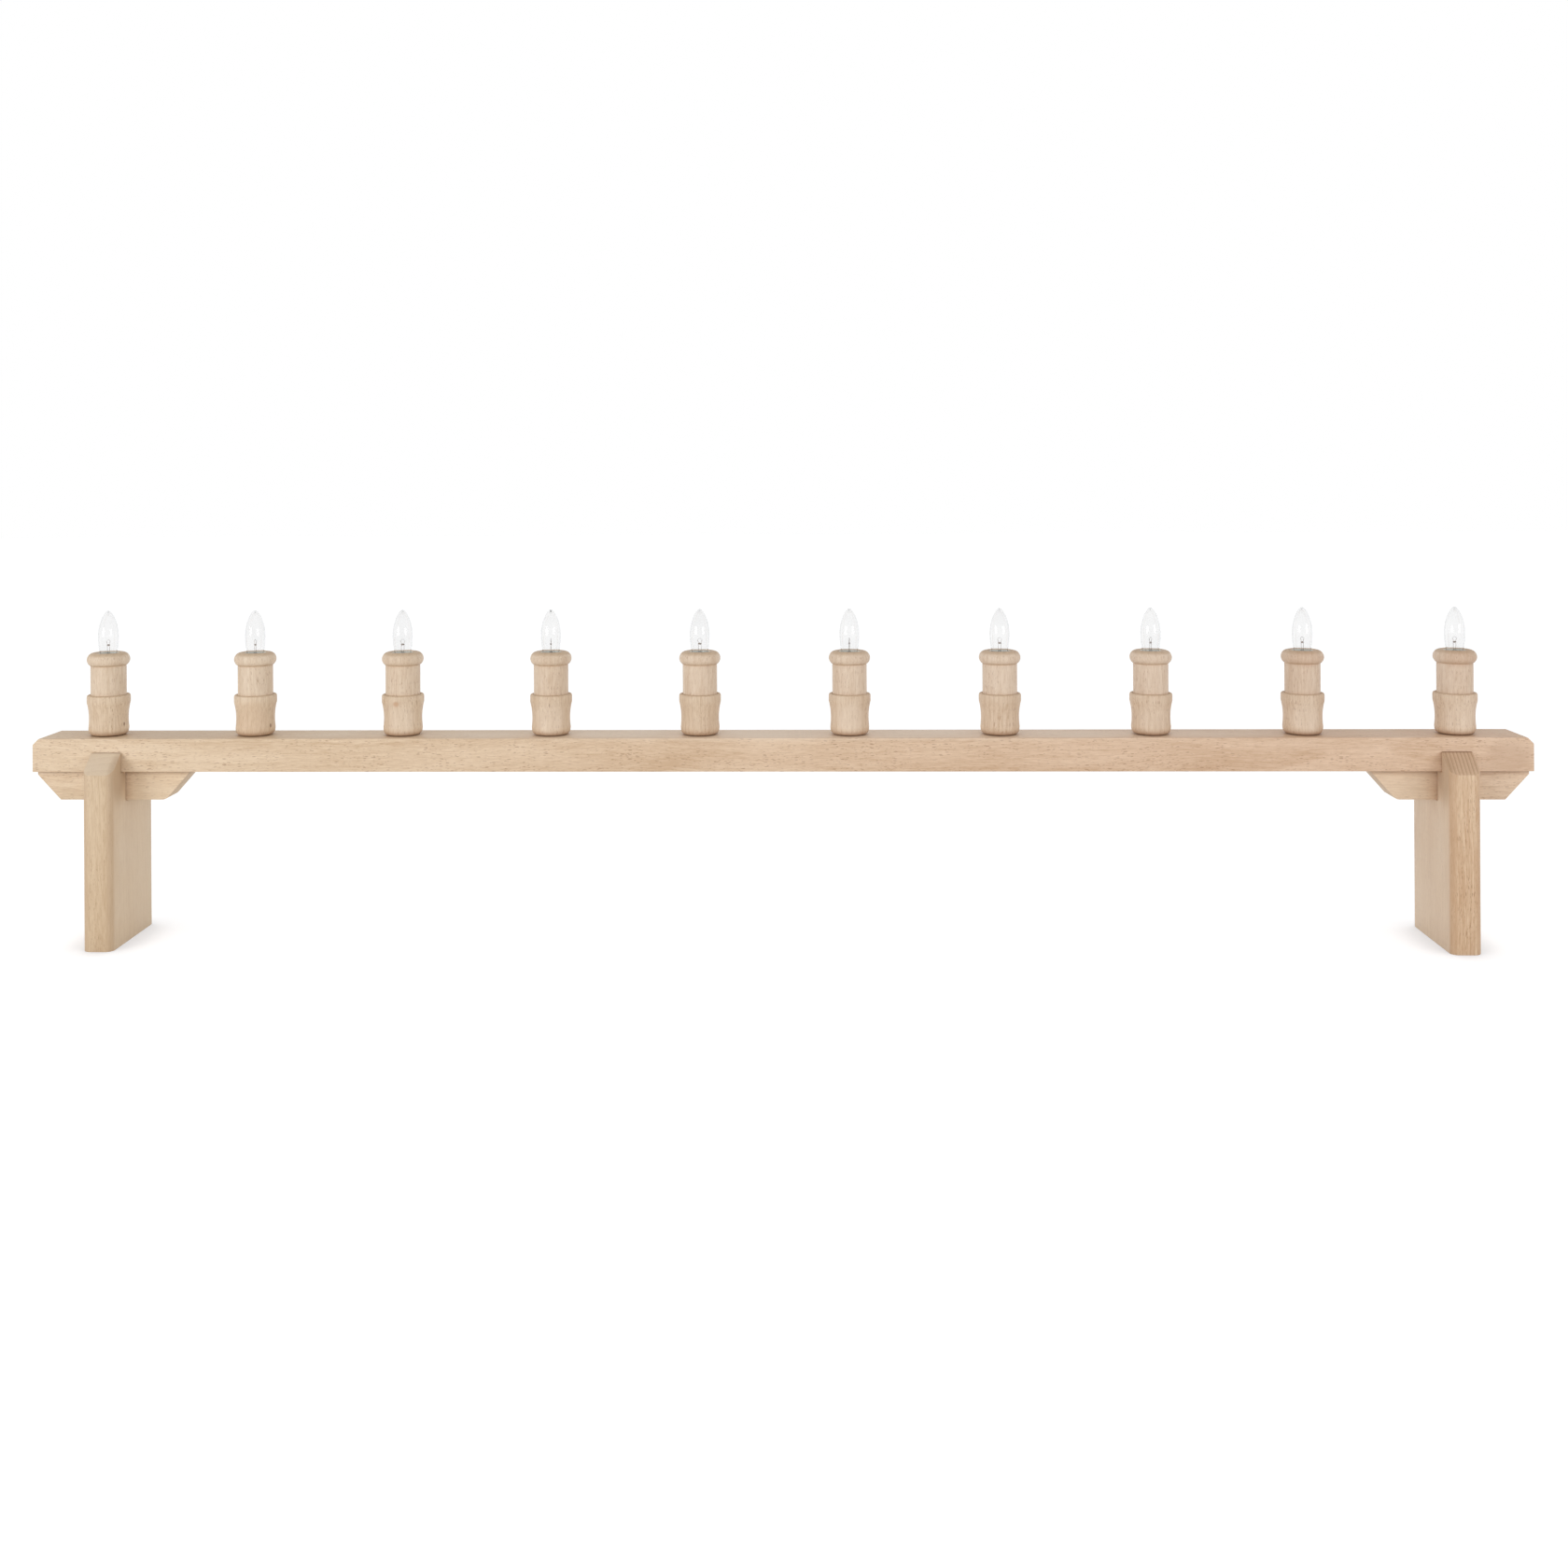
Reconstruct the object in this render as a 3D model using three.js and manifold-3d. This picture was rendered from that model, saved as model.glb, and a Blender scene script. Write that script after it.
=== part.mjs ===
// Wooden candle bar: ten small screw-in lamps in turned wooden holders, which stand in turned cups on a beech bar
// that two forked legs carry.
// Millimetres. +X along the bar, -Y towards the viewer, +Z up. The origin is on the floor, under the bar's middle.
import * as THREE from "three";
import { mergeVertices } from "three/addons/utils/BufferGeometryUtils.js";
import Module from "manifold-3d";

// Row of candles
const candle_count = 10;
const candle_inset = 44.25; // bar end to the outer candle's axis

// Bar
const bar_length = 988.5;
const bar_depth = 36;
const bar_height = 22;
const bar_underside = 115; // above the floor
const bar_end_chamfer = 4; // on the top edge of each end
const groove_width = 10; // wiring groove in the underside
const groove_depth = 10;
const groove_past_candle = 7; // the groove runs on past the outer candles' axes
const cover_width = 15; // strip that closes the groove between the brackets
const cover_thickness = 2.5;

// Forked legs
const leg_thickness = 20;
const leg_depth = 70;
const leg_inset = 40; // bar end to the leg's outer face
const leg_edge_round = 4.5; // on the four upright edges
const fork_front_height = 0.5; // above the bar's underside, at the leg's front and rear faces
const fork_slope_rise = 12.8; // from there up to the bar's own face

// Brackets between the bar and the legs
const bracket_thickness = 20;
const bracket_height = 20;
const bracket_length = 104; // along its top, from the bar's end
const bracket_land = 3; // upright part of the outer end
const bracket_outer_run = 15.5; // how far each slanted end reaches inwards
const bracket_inner_run = 17.5;
const bracket_corner_round = 5; // below the inner slope

// Turned cup on the bar, heights above the bar's top
const cup_height = 27.4;
const cup_radius = 14;
const cup_widest_height = 22.3;
const cup_lip_round = 1.6;
const waist_radius = 12.6;
const waist_height = 11.6;
const bulge_radius = 13;
const bulge_height = 5.4;
const foot_radius = 9.8;
const spigot_radius = 6.5; // glued into the bar
const spigot_length = 8;
const wire_hole_radius = 3;

// Turned holder that stands in the cup, a tube with a bead round its mouth
const holder_radius = 11.5;
const holder_depth = 7; // down into the cup
const rim_height = 55.7; // top of the bead, above the bar's top
const bead_section_radius = 4.7;
const bead_radius = 13.8;
const mouth_radius = 7.5;

// Lamp socket in the holder's bore
const socket_length = 17.5;
const socket_below_rim = 2.6;
const socket_floor = 2;
const socket_boss_radius = 1.8; // centre contact

// Lamp with a ten millimetre screw cap
const cap_radius = 4.75;
const cap_length = 8.4;
const cap_below_socket = 1.8; // its upper edge, below the socket's rim
const cap_insulator_radius = 2.6;
const cap_insulator_length = 1.4;
const tip_radius = 1.7;
const tip_length = 1.6;
const glass_seat_radius = 4.55;
const glass_radius = 6.65;
const glass_length = 32.3; // from the cap up to the point
const glass_widest = 15.5; // above the cap
const glass_wall = 0.5;
const stem_radius = 1.3; // glass foot that carries the filament inside the lamp
const stem_height = 7.5;
const filament_bead_height = 9;
const filament_bead_radius = 1.5;
const filament_rod_radius = 0.45;

// Clearances
const seat_gap = 0.2; // between pieces that are glued, pressed or laid on each other
const thread_gap = 0.3; // between the lamp's cap and its socket

// Wiring in the groove
const lead_width = 5;
const lead_height = 2.4;
const riser_radius = 1.2; // from the lead up to each socket

// Sides of the round pieces
const turned_sides = 16;
const socket_sides = 12;
const lamp_sides = 10;
const wire_sides = 8;

const wood = new THREE.MeshStandardMaterial({ color: 0xd9bd98, roughness: 0.62, metalness: 0 });
const turned_wood = new THREE.MeshStandardMaterial({ color: 0xdcc2a0, roughness: 0.6, metalness: 0 });
const leg_wood = new THREE.MeshStandardMaterial({ color: 0xd4b58d, roughness: 0.62, metalness: 0 });
const clear_glass = new THREE.MeshStandardMaterial({
  color: 0xf4f6f6, roughness: 0.03, metalness: 0, transparent: true, opacity: 0.3,
});
const nickel = new THREE.MeshStandardMaterial({ color: 0xc9c4b8, roughness: 0.3, metalness: 1 });
const solder = new THREE.MeshStandardMaterial({ color: 0xa8a8a4, roughness: 0.45, metalness: 1 });
const wire_plastic = new THREE.MeshStandardMaterial({ color: 0xe8e4d8, roughness: 0.5, metalness: 0 });

const wasm = await Module();
wasm.setup();

// Closed solid from a geometry: shared corners merged, and triangles that shrank to a line left out.
function solid(geometry) {
  const bare = geometry.clone();
  bare.deleteAttribute("normal");
  bare.deleteAttribute("uv");
  const merged = mergeVertices(bare, 1e-4);
  const kept = [];
  const index = merged.index.array;
  for (let i = 0; i < index.length; i += 3) {
    const [a, b, c] = [index[i], index[i + 1], index[i + 2]];
    if (a !== b && b !== c && c !== a) kept.push(a, b, c);
  }
  return new wasm.Manifold(
    new wasm.Mesh({
      numProp: 3,
      vertProperties: merged.attributes.position.array,
      triVerts: new Uint32Array(kept),
    }),
  );
}

function geometryOf(body) {
  const mesh = body.getMesh();
  return new THREE.BufferGeometry()
    .setAttribute("position", new THREE.BufferAttribute(new Float32Array(mesh.vertProperties), 3))
    .setIndex(new THREE.BufferAttribute(new Uint32Array(mesh.triVerts), 1));
}

function named(name, body, material) {
  const geometry = geometryOf(body);
  geometry.computeVertexNormals();
  const mesh = new THREE.Mesh(geometry, material);
  mesh.name = name;
  return mesh;
}

// Revolved solid about Z. The outline is [radius, height] points, anticlockwise, and closes on itself or on the axis.
function revolved(points, segments) {
  const outline = points.map((p) => new THREE.Vector2(p.x, p.y));
  if (outline[0].x > 0) outline.push(outline[0].clone());
  return solid(new THREE.LatheGeometry(outline, segments).rotateX(Math.PI / 2));
}

// Plate with an outline in X and Z, centred on Y.
function plateAlongY(shape, thickness) {
  const plate = new THREE.ExtrudeGeometry(shape, { depth: thickness, bevelEnabled: false, curveSegments: 4 });
  return solid(plate.translate(0, 0, -thickness / 2).rotateX(Math.PI / 2));
}

// Plate with an outline in Y and Z, centred on X.
function plateAlongX(shape, thickness) {
  const plate = new THREE.ExtrudeGeometry(shape, { depth: thickness, bevelEnabled: false, curveSegments: 4 });
  const turn = new THREE.Matrix4().makeBasis(
    new THREE.Vector3(0, 1, 0), new THREE.Vector3(0, 0, 1), new THREE.Vector3(1, 0, 0),
  );
  return solid(plate.translate(0, 0, -thickness / 2).applyMatrix4(turn));
}

// Prism standing on z = low, with an outline in X and Y.
function prism(shape, low, high) {
  const block = new THREE.ExtrudeGeometry(shape, { depth: high - low, bevelEnabled: false, curveSegments: 3 });
  return solid(block.translate(0, 0, low));
}

function box(length, depth, low, high) {
  return solid(new THREE.BoxGeometry(length, depth, high - low).translate(0, 0, (low + high) / 2));
}

function rod(radius, low, high, segments) {
  const cylinder = new THREE.CylinderGeometry(radius, radius, high - low, segments);
  return solid(cylinder.rotateX(Math.PI / 2).translate(0, 0, (low + high) / 2));
}

function roundedRectangle(length, depth, radius) {
  const [x, y] = [length / 2, depth / 2];
  const shape = new THREE.Shape();
  shape.moveTo(-x + radius, -y);
  shape.lineTo(x - radius, -y).absarc(x - radius, -y + radius, radius, -Math.PI / 2, 0);
  shape.lineTo(x, y - radius).absarc(x - radius, y - radius, radius, 0, Math.PI / 2);
  shape.lineTo(-x + radius, y).absarc(-x + radius, y - radius, radius, Math.PI / 2, Math.PI);
  shape.lineTo(-x, -y + radius).absarc(-x + radius, -y + radius, radius, Math.PI, 1.5 * Math.PI);
  return shape;
}

const candle_pitch = (bar_length - 2 * candle_inset) / (candle_count - 1);
const candle_x = Array.from({ length: candle_count }, (_, i) => (i - (candle_count - 1) / 2) * candle_pitch);
const bar_top = bar_underside + bar_height;
const leg_x = bar_length / 2 - leg_inset - leg_thickness / 2;
const groove_length = (candle_count - 1) * candle_pitch + 2 * groove_past_candle;
const cover_length = bar_length - 2 * bracket_length;

// Bar in its own frame: z = 0 is its underside.
function makeBar() {
  const [end, c] = [bar_length / 2, bar_end_chamfer];
  const side = new THREE.Shape([
    new THREE.Vector2(-end, 0),
    new THREE.Vector2(end, 0),
    new THREE.Vector2(end, bar_height - c),
    new THREE.Vector2(end - c, bar_height),
    new THREE.Vector2(-end + c, bar_height),
    new THREE.Vector2(-end, bar_height - c),
  ]);
  let bar = plateAlongY(side, bar_depth);
  bar = bar.subtract(box(groove_length, groove_width, -1, groove_depth));
  bar = bar.subtract(box(cover_length, cover_width + 2 * seat_gap, -1, cover_thickness + seat_gap));
  const hole_floor = bar_height - spigot_length - seat_gap;
  for (const x of candle_x) {
    const spigot_hole = rod(spigot_radius + seat_gap, hole_floor, bar_height + 1, turned_sides);
    const wire_hole = rod(wire_hole_radius, groove_depth - 1, hole_floor + 1, wire_sides);
    bar = bar.subtract(spigot_hole.translate([x, 0, 0])).subtract(wire_hole.translate([x, 0, 0]));
  }
  return bar;
}

// Strip over the groove, from one bracket to the other, flush with the bar's underside.
function makeCover() {
  return box(cover_length - 2 * seat_gap, cover_width, 0, cover_thickness);
}

// Leg: a board forked to take the bar, with a narrower slot below for the bracket. z = 0 is the floor.
function makeLeg() {
  const y = leg_depth / 2;
  const bar_y = bar_depth / 2 + seat_gap;
  const bracket_y = bracket_thickness / 2 + seat_gap;
  const ledge = bar_underside - seat_gap;
  const slot_floor = bar_underside - bracket_height - 2 * seat_gap;
  const fork_front = bar_underside + fork_front_height;
  const fork_top = fork_front + fork_slope_rise;
  const side = new THREE.Shape([
    new THREE.Vector2(-y, 0),
    new THREE.Vector2(y, 0),
    new THREE.Vector2(y, fork_front),
    new THREE.Vector2(bar_y, fork_top),
    new THREE.Vector2(bar_y, ledge),
    new THREE.Vector2(bracket_y, ledge),
    new THREE.Vector2(bracket_y, slot_floor),
    new THREE.Vector2(-bracket_y, slot_floor),
    new THREE.Vector2(-bracket_y, ledge),
    new THREE.Vector2(-bar_y, ledge),
    new THREE.Vector2(-bar_y, fork_top),
    new THREE.Vector2(-y, fork_front),
  ]);
  const plan = prism(roundedRectangle(leg_thickness, leg_depth, leg_edge_round), -1, fork_top + 1);
  return plateAlongX(side, leg_thickness).intersect(plan);
}

// Bracket in its own frame: its outer end is at x = 0 and it runs towards +X, with its top at z = 0.
function makeBracket() {
  const top = -seat_gap;
  const bottom = top - bracket_height + seat_gap;
  const slope = Math.atan2(bracket_height - seat_gap, bracket_inner_run);
  const cut = bracket_corner_round * Math.tan(slope / 2);
  const inner = bracket_length - bracket_inner_run;
  const shape = new THREE.Shape();
  shape.moveTo(0, top);
  shape.lineTo(0, top - bracket_land);
  shape.lineTo(bracket_outer_run, bottom);
  shape.lineTo(inner - cut, bottom);
  shape.quadraticCurveTo(inner, bottom, inner + cut * Math.cos(slope), bottom + cut * Math.sin(slope));
  shape.lineTo(bracket_length, top);
  return plateAlongY(shape, bracket_thickness);
}

// Turned cup: spigot, foot, bulge, waist and rounded shoulder, bored for the holder. z = 0 is the bar's top.
const cup_floor = cup_height - holder_depth;

function makeCup() {
  const shoulder = cup_height - cup_lip_round;
  const outline = new THREE.Path();
  outline.moveTo(wire_hole_radius, -spigot_length);
  outline.lineTo(spigot_radius, -spigot_length);
  outline.lineTo(spigot_radius, seat_gap);
  outline.lineTo(foot_radius, seat_gap);
  outline.quadraticCurveTo(bulge_radius, seat_gap, bulge_radius, bulge_height);
  outline.quadraticCurveTo(waist_radius, (bulge_height + waist_height) / 2, waist_radius, waist_height);
  outline.quadraticCurveTo(waist_radius, (waist_height + cup_widest_height) / 2, cup_radius, cup_widest_height);
  outline.lineTo(cup_radius, shoulder);
  outline.quadraticCurveTo(cup_radius, cup_height, cup_radius - cup_lip_round, cup_height);
  outline.lineTo(holder_radius + seat_gap, cup_height);
  outline.lineTo(holder_radius + seat_gap, cup_floor);
  outline.lineTo(wire_hole_radius, cup_floor);
  return revolved(outline.getPoints(2), turned_sides);
}

// Turned holder: a tube bored right through, with a bead round its mouth.
function makeHolder() {
  const bead_x = bead_radius - bead_section_radius;
  const bead_z = rim_height - bead_section_radius;
  const bead_foot = bead_z - Math.sqrt(bead_section_radius ** 2 - (holder_radius - bead_x) ** 2);
  const start = Math.atan2(bead_foot - bead_z, holder_radius - bead_x);
  const outline = new THREE.Path();
  outline.moveTo(mouth_radius, cup_floor + seat_gap);
  outline.lineTo(holder_radius, cup_floor + seat_gap);
  outline.lineTo(holder_radius, bead_foot);
  outline.absarc(bead_x, bead_z, bead_section_radius, start, Math.PI / 2, false);
  outline.lineTo(mouth_radius, rim_height);
  return revolved(outline.getPoints(2), turned_sides);
}

// Lamp socket: a sleeve with a floor, whose raised centre is the lower contact.
const socket_top = rim_height - socket_below_rim;
const socket_bottom = socket_top - socket_length;
const cap_top = socket_top - cap_below_socket;
const cap_bottom = cap_top - cap_length;
const tip_bottom = cap_bottom - cap_insulator_length - tip_length;

function makeSocket() {
  const outer = mouth_radius - seat_gap;
  const inner = cap_radius + thread_gap;
  const boss_top = tip_bottom - thread_gap;
  return revolved([
    new THREE.Vector2(0, socket_bottom),
    new THREE.Vector2(outer, socket_bottom),
    new THREE.Vector2(outer, socket_top),
    new THREE.Vector2(inner, socket_top),
    new THREE.Vector2(inner, socket_bottom + socket_floor),
    new THREE.Vector2(socket_boss_radius, socket_bottom + socket_floor),
    new THREE.Vector2(socket_boss_radius, boss_top),
    new THREE.Vector2(0, boss_top),
  ], socket_sides);
}

// Glass bulb: a pointed shell, open below where the cap holds it.
function makeGlass() {
  const foot = cap_top + seat_gap;
  const widest = cap_top + glass_widest;
  const point = cap_top + glass_length;
  const curve = (radius, top, inset) => {
    const path = new THREE.Path();
    path.moveTo(glass_seat_radius - inset, foot);
    path.bezierCurveTo(
      radius - 0.4, foot + 0.35 * (widest - foot), radius, widest - 0.3 * (widest - foot), radius, widest,
    );
    path.bezierCurveTo(radius, widest + 0.5 * (top - widest), 0.42 * radius, top, 0, top);
    return path.getPoints(3);
  };
  const outside = curve(glass_radius, point, 0);
  const inside = curve(glass_radius - glass_wall, point - 1.4 * glass_wall, glass_wall);
  return revolved([...inside.reverse(), ...outside], lamp_sides);
}

// Screw cap with its insulator below, and the glass foot and filament carrier that stand on it inside the bulb.
function makeCap() {
  const bead_low = cap_top + filament_bead_height;
  return revolved([
    new THREE.Vector2(0, cap_bottom - cap_insulator_length),
    new THREE.Vector2(cap_insulator_radius, cap_bottom - cap_insulator_length),
    new THREE.Vector2(cap_radius, cap_bottom),
    new THREE.Vector2(cap_radius, cap_top),
    new THREE.Vector2(stem_radius, cap_top),
    new THREE.Vector2(filament_rod_radius, cap_top + stem_height),
    new THREE.Vector2(filament_rod_radius, bead_low),
    new THREE.Vector2(filament_bead_radius, bead_low),
    new THREE.Vector2(0, bead_low + filament_bead_radius),
  ], lamp_sides);
}

function makeTip() {
  const top = tip_bottom + tip_length - seat_gap;
  return revolved([
    new THREE.Vector2(0, tip_bottom),
    new THREE.Vector2(0.7 * tip_radius, tip_bottom + 0.2 * tip_length),
    new THREE.Vector2(tip_radius, top),
    new THREE.Vector2(0, top),
  ], wire_sides);
}

// Wiring: a flat twin lead in the groove, and on it a riser and a moulded socket for each lamp. z = 0 is the bar's
// underside.
function makeWiring() {
  const low = cover_thickness + 3 * seat_gap;
  const length = (candle_count - 1) * candle_pitch + lead_width;
  const riser_top = bar_height + socket_bottom + socket_floor / 2;
  const riser = rod(riser_radius, low + lead_height / 2, riser_top, wire_sides);
  const branch = riser.add(makeSocket().translate([0, 0, bar_height]));
  let wiring = box(length, lead_width, low, low + lead_height);
  for (const x of candle_x) wiring = wiring.add(branch.translate([x, 0, 0]));
  return wiring;
}

const candle_bar = new THREE.Group();

const beam = new THREE.Group();
beam.position.z = bar_underside;
beam.add(named("bar", makeBar(), wood));
beam.add(named("groove_cover", makeCover(), wood));
beam.add(named("wiring", makeWiring(), wire_plastic));
candle_bar.add(beam);

for (const [side, sign] of [["left", -1], ["right", 1]]) {
  const leg = named("leg_" + side, makeLeg(), leg_wood);
  leg.position.x = sign * leg_x;
  candle_bar.add(leg);

  const bracket = named("bracket_" + side, makeBracket(), wood);
  bracket.position.set((sign * bar_length) / 2, 0, bar_underside);
  bracket.rotation.z = sign > 0 ? Math.PI : 0;
  candle_bar.add(bracket);
}

candle_x.forEach((x, i) => {
  const number = String(i + 1).padStart(2, "0");
  const candle = new THREE.Group();
  candle.position.set(x, 0, bar_top);
  candle.add(named("cup_" + number, makeCup(), turned_wood));
  candle.add(named("holder_" + number, makeHolder(), turned_wood));
  candle.add(named("lamp_glass_" + number, makeGlass(), clear_glass));
  candle.add(named("lamp_cap_" + number, makeCap(), nickel));
  candle.add(named("lamp_tip_" + number, makeTip(), solder));
  candle_bar.add(candle);
});

export default candle_bar;
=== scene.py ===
"""Wooden candle bar: ten small lamps in turned holders on a long beech bar."""

import logging
import math
from collections.abc import Callable, Iterator
from contextlib import contextmanager
from dataclasses import dataclass, field
from enum import Enum

import bmesh
import bpy
from mathutils import Matrix, Vector


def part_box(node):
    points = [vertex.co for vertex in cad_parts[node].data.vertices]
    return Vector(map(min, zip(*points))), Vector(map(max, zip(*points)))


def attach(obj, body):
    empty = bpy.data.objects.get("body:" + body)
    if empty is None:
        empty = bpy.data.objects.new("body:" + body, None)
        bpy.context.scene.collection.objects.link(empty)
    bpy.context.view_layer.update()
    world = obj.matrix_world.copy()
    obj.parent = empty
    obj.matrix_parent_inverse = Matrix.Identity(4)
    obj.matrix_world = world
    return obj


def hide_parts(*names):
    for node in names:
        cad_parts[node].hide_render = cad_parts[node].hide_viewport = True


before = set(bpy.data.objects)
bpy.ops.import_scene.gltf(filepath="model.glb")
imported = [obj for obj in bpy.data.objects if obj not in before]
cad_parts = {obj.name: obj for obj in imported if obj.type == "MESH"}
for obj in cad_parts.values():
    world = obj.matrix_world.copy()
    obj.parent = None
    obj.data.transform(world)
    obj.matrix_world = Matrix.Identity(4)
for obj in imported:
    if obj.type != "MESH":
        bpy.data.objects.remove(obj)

log = logging.getLogger("candle_bar")

MM = 0.001
POLE = 0.001  # millimetres, the radius that stands for a point on the axis
NEAR = 0.1 * MM  # places closer than this count as one
WHITE = (1.0, 1.0, 1.0, 1.0)
BLACK = (0.0, 0.0, 0.0, 1.0)
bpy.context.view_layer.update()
STAND = "stand"

Colour = tuple[float, float, float, float]
Socket = bpy.types.NodeSocket
Piece = bpy.types.Object


def screen(red: int, green: int, blue: int) -> Colour:
    """Linear colour of a screen colour.

    Args:
        red: red, 0 to 255.
        green: green, 0 to 255.
        blue: blue, 0 to 255.

    Returns:
        The linear colour with full alpha.
    """

    def linear(value: int) -> float:
        """Linear share of one 0 to 255 value."""
        share = value / 255
        return share / 12.92 if share <= 0.04045 else ((share + 0.055) / 1.055) ** 2.4

    return (linear(red), linear(green), linear(blue), 1.0)


# Work on meshes


def deselect() -> None:
    """Leave object mode with nothing selected and nothing active."""
    bpy.ops.object.select_all(action="DESELECT")
    bpy.context.view_layer.objects.active = None


def take(piece: Piece) -> None:
    """Select one piece alone and make it active."""
    deselect()
    piece.select_set(True)
    bpy.context.view_layer.objects.active = piece


def settle(piece: Piece) -> None:
    """Move a piece's place, turn and scale into its mesh."""
    take(piece)
    bpy.ops.object.transform_apply(location=True, rotation=True, scale=True)


@contextmanager
def editing(piece: Piece) -> Iterator[None]:
    """Edit one piece, with none of it selected at first.

    Args:
        piece: the piece to edit.
    """
    take(piece)
    bpy.ops.object.mode_set(mode="EDIT")
    bpy.ops.mesh.select_mode(type="EDGE")
    bpy.ops.mesh.select_all(action="DESELECT")
    yield
    bpy.ops.object.mode_set(mode="OBJECT")


def pick_edges(piece: Piece, wanted: Callable[[Vector, Vector], bool]) -> None:
    """Select the edges whose two ends pass a test.

    Args:
        piece: the piece in edit mode.
        wanted: test of an edge's two ends.
    """
    mesh = bmesh.from_edit_mesh(piece.data)
    for edge in mesh.edges:
        if wanted(edge.verts[0].co, edge.verts[1].co):
            edge.select_set(True)
    bmesh.update_edit_mesh(piece.data)


def block(name: str, low: Vector, high: Vector) -> Piece:
    """Sawn block between two corners.

    Args:
        name: name of the piece.
        low: lowest corner, in metres.
        high: highest corner, in metres.

    Returns:
        The block, with its place in its mesh.
    """
    deselect()
    bpy.ops.mesh.primitive_cube_add(size=1, location=(low + high) / 2, scale=high - low)
    piece = bpy.context.object
    piece.name = piece.data.name = name
    settle(piece)
    return piece


def saw(piece: Piece, point: Vector, outwards: Vector) -> None:
    """Saw a piece along a plane and drop what lies outwards.

    Args:
        piece: the piece to saw.
        point: a point on the plane.
        outwards: the plane's normal, towards the waste.
    """
    with editing(piece):
        bpy.ops.mesh.select_all(action="SELECT")
        bpy.ops.mesh.bisect(
            plane_co=point,
            plane_no=outwards.normalized(),
            use_fill=True,
            clear_outer=True,
            threshold=1e-6,
        )


def round_edges(
    piece: Piece,
    wanted: Callable[[Vector, Vector], bool],
    radius: float,
    segments: int,
    fullness: float = 0.5,
) -> None:
    """Round or chamfer chosen edges.

    Args:
        piece: the piece.
        wanted: test of an edge's two ends.
        radius: size of the round in metres.
        segments: strips across it, 1 for a chamfer.
        fullness: 0.5 for a true round, less for a flatter one.
    """
    with editing(piece):
        pick_edges(piece, wanted)
        bpy.ops.mesh.bevel(
            offset=radius, segments=segments, profile=fullness, affect="EDGES"
        )


def split_wide_faces(piece: Piece) -> None:
    """Split every face of more than four sides, so that a notched one shades flat."""
    with editing(piece):
        bpy.ops.mesh.select_mode(type="FACE")
        bpy.ops.mesh.select_face_by_sides(number=4, type="GREATER")
        bpy.ops.mesh.quads_convert_to_tris(ngon_method="BEAUTY")


def finish_modifier(piece: Piece, modifier: bpy.types.Modifier) -> None:
    """Apply a modifier to its piece."""
    take(piece)
    bpy.ops.object.modifier_apply(modifier=modifier.name)


def cut_out(piece: Piece, cutters: list[Piece]) -> None:
    """Cut other pieces' shapes out of a piece and drop the cutters.

    Args:
        piece: the piece that is cut.
        cutters: closed shapes, removed afterwards.
    """
    for cutter in cutters:
        modifier = piece.modifiers.new("cut", "BOOLEAN")
        modifier.operation = "DIFFERENCE"
        modifier.solver = "EXACT"
        modifier.object = cutter
        finish_modifier(piece, modifier)
        bpy.data.objects.remove(cutter)


def soften(piece: Piece, width: float, segments: int = 2) -> None:
    """Break every sharp edge a little, as sanding does.

    Args:
        piece: the piece.
        width: width of the broken edge in metres.
        segments: strips across it.
    """
    modifier = piece.modifiers.new("broken edges", "BEVEL")
    modifier.width = width
    modifier.segments = segments
    modifier.limit_method = "ANGLE"
    modifier.angle_limit = math.radians(30)
    modifier.use_clamp_overlap = False
    finish_modifier(piece, modifier)


def smooth(piece: Piece, degrees: float = 32) -> None:
    """Shade a piece smooth up to an angle."""
    take(piece)
    bpy.ops.object.shade_smooth_by_angle(angle=math.radians(degrees))


def copied(piece: Piece, name: str, offset: Vector, turn: float = 0.0) -> Piece:
    """Copy a piece with its own mesh to another place.

    Args:
        piece: the piece to copy, at the origin.
        name: name of the copy.
        offset: where the copy goes.
        turn: turn about the upright axis before that, in radians.

    Returns:
        The copy, with its place in its mesh.
    """
    twin = piece.copy()
    twin.data = piece.data.copy()
    twin.name = twin.data.name = name
    bpy.context.scene.collection.objects.link(twin)
    twin.data.transform(Matrix.Translation(offset) @ Matrix.Rotation(turn, 4, "Z"))
    return twin


def joined(parts: list[Piece], degrees: float) -> Piece:
    """Join pieces into one and shade it smooth.

    Args:
        parts: the pieces, of which the first takes in the others.
        degrees: the angle up to which it shades smooth.

    Returns:
        The joined piece.
    """
    take(parts[0])
    for part in parts[1:]:
        part.select_set(True)
    bpy.ops.object.join()
    whole = bpy.context.object
    smooth(whole, degrees)
    return whole


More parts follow.
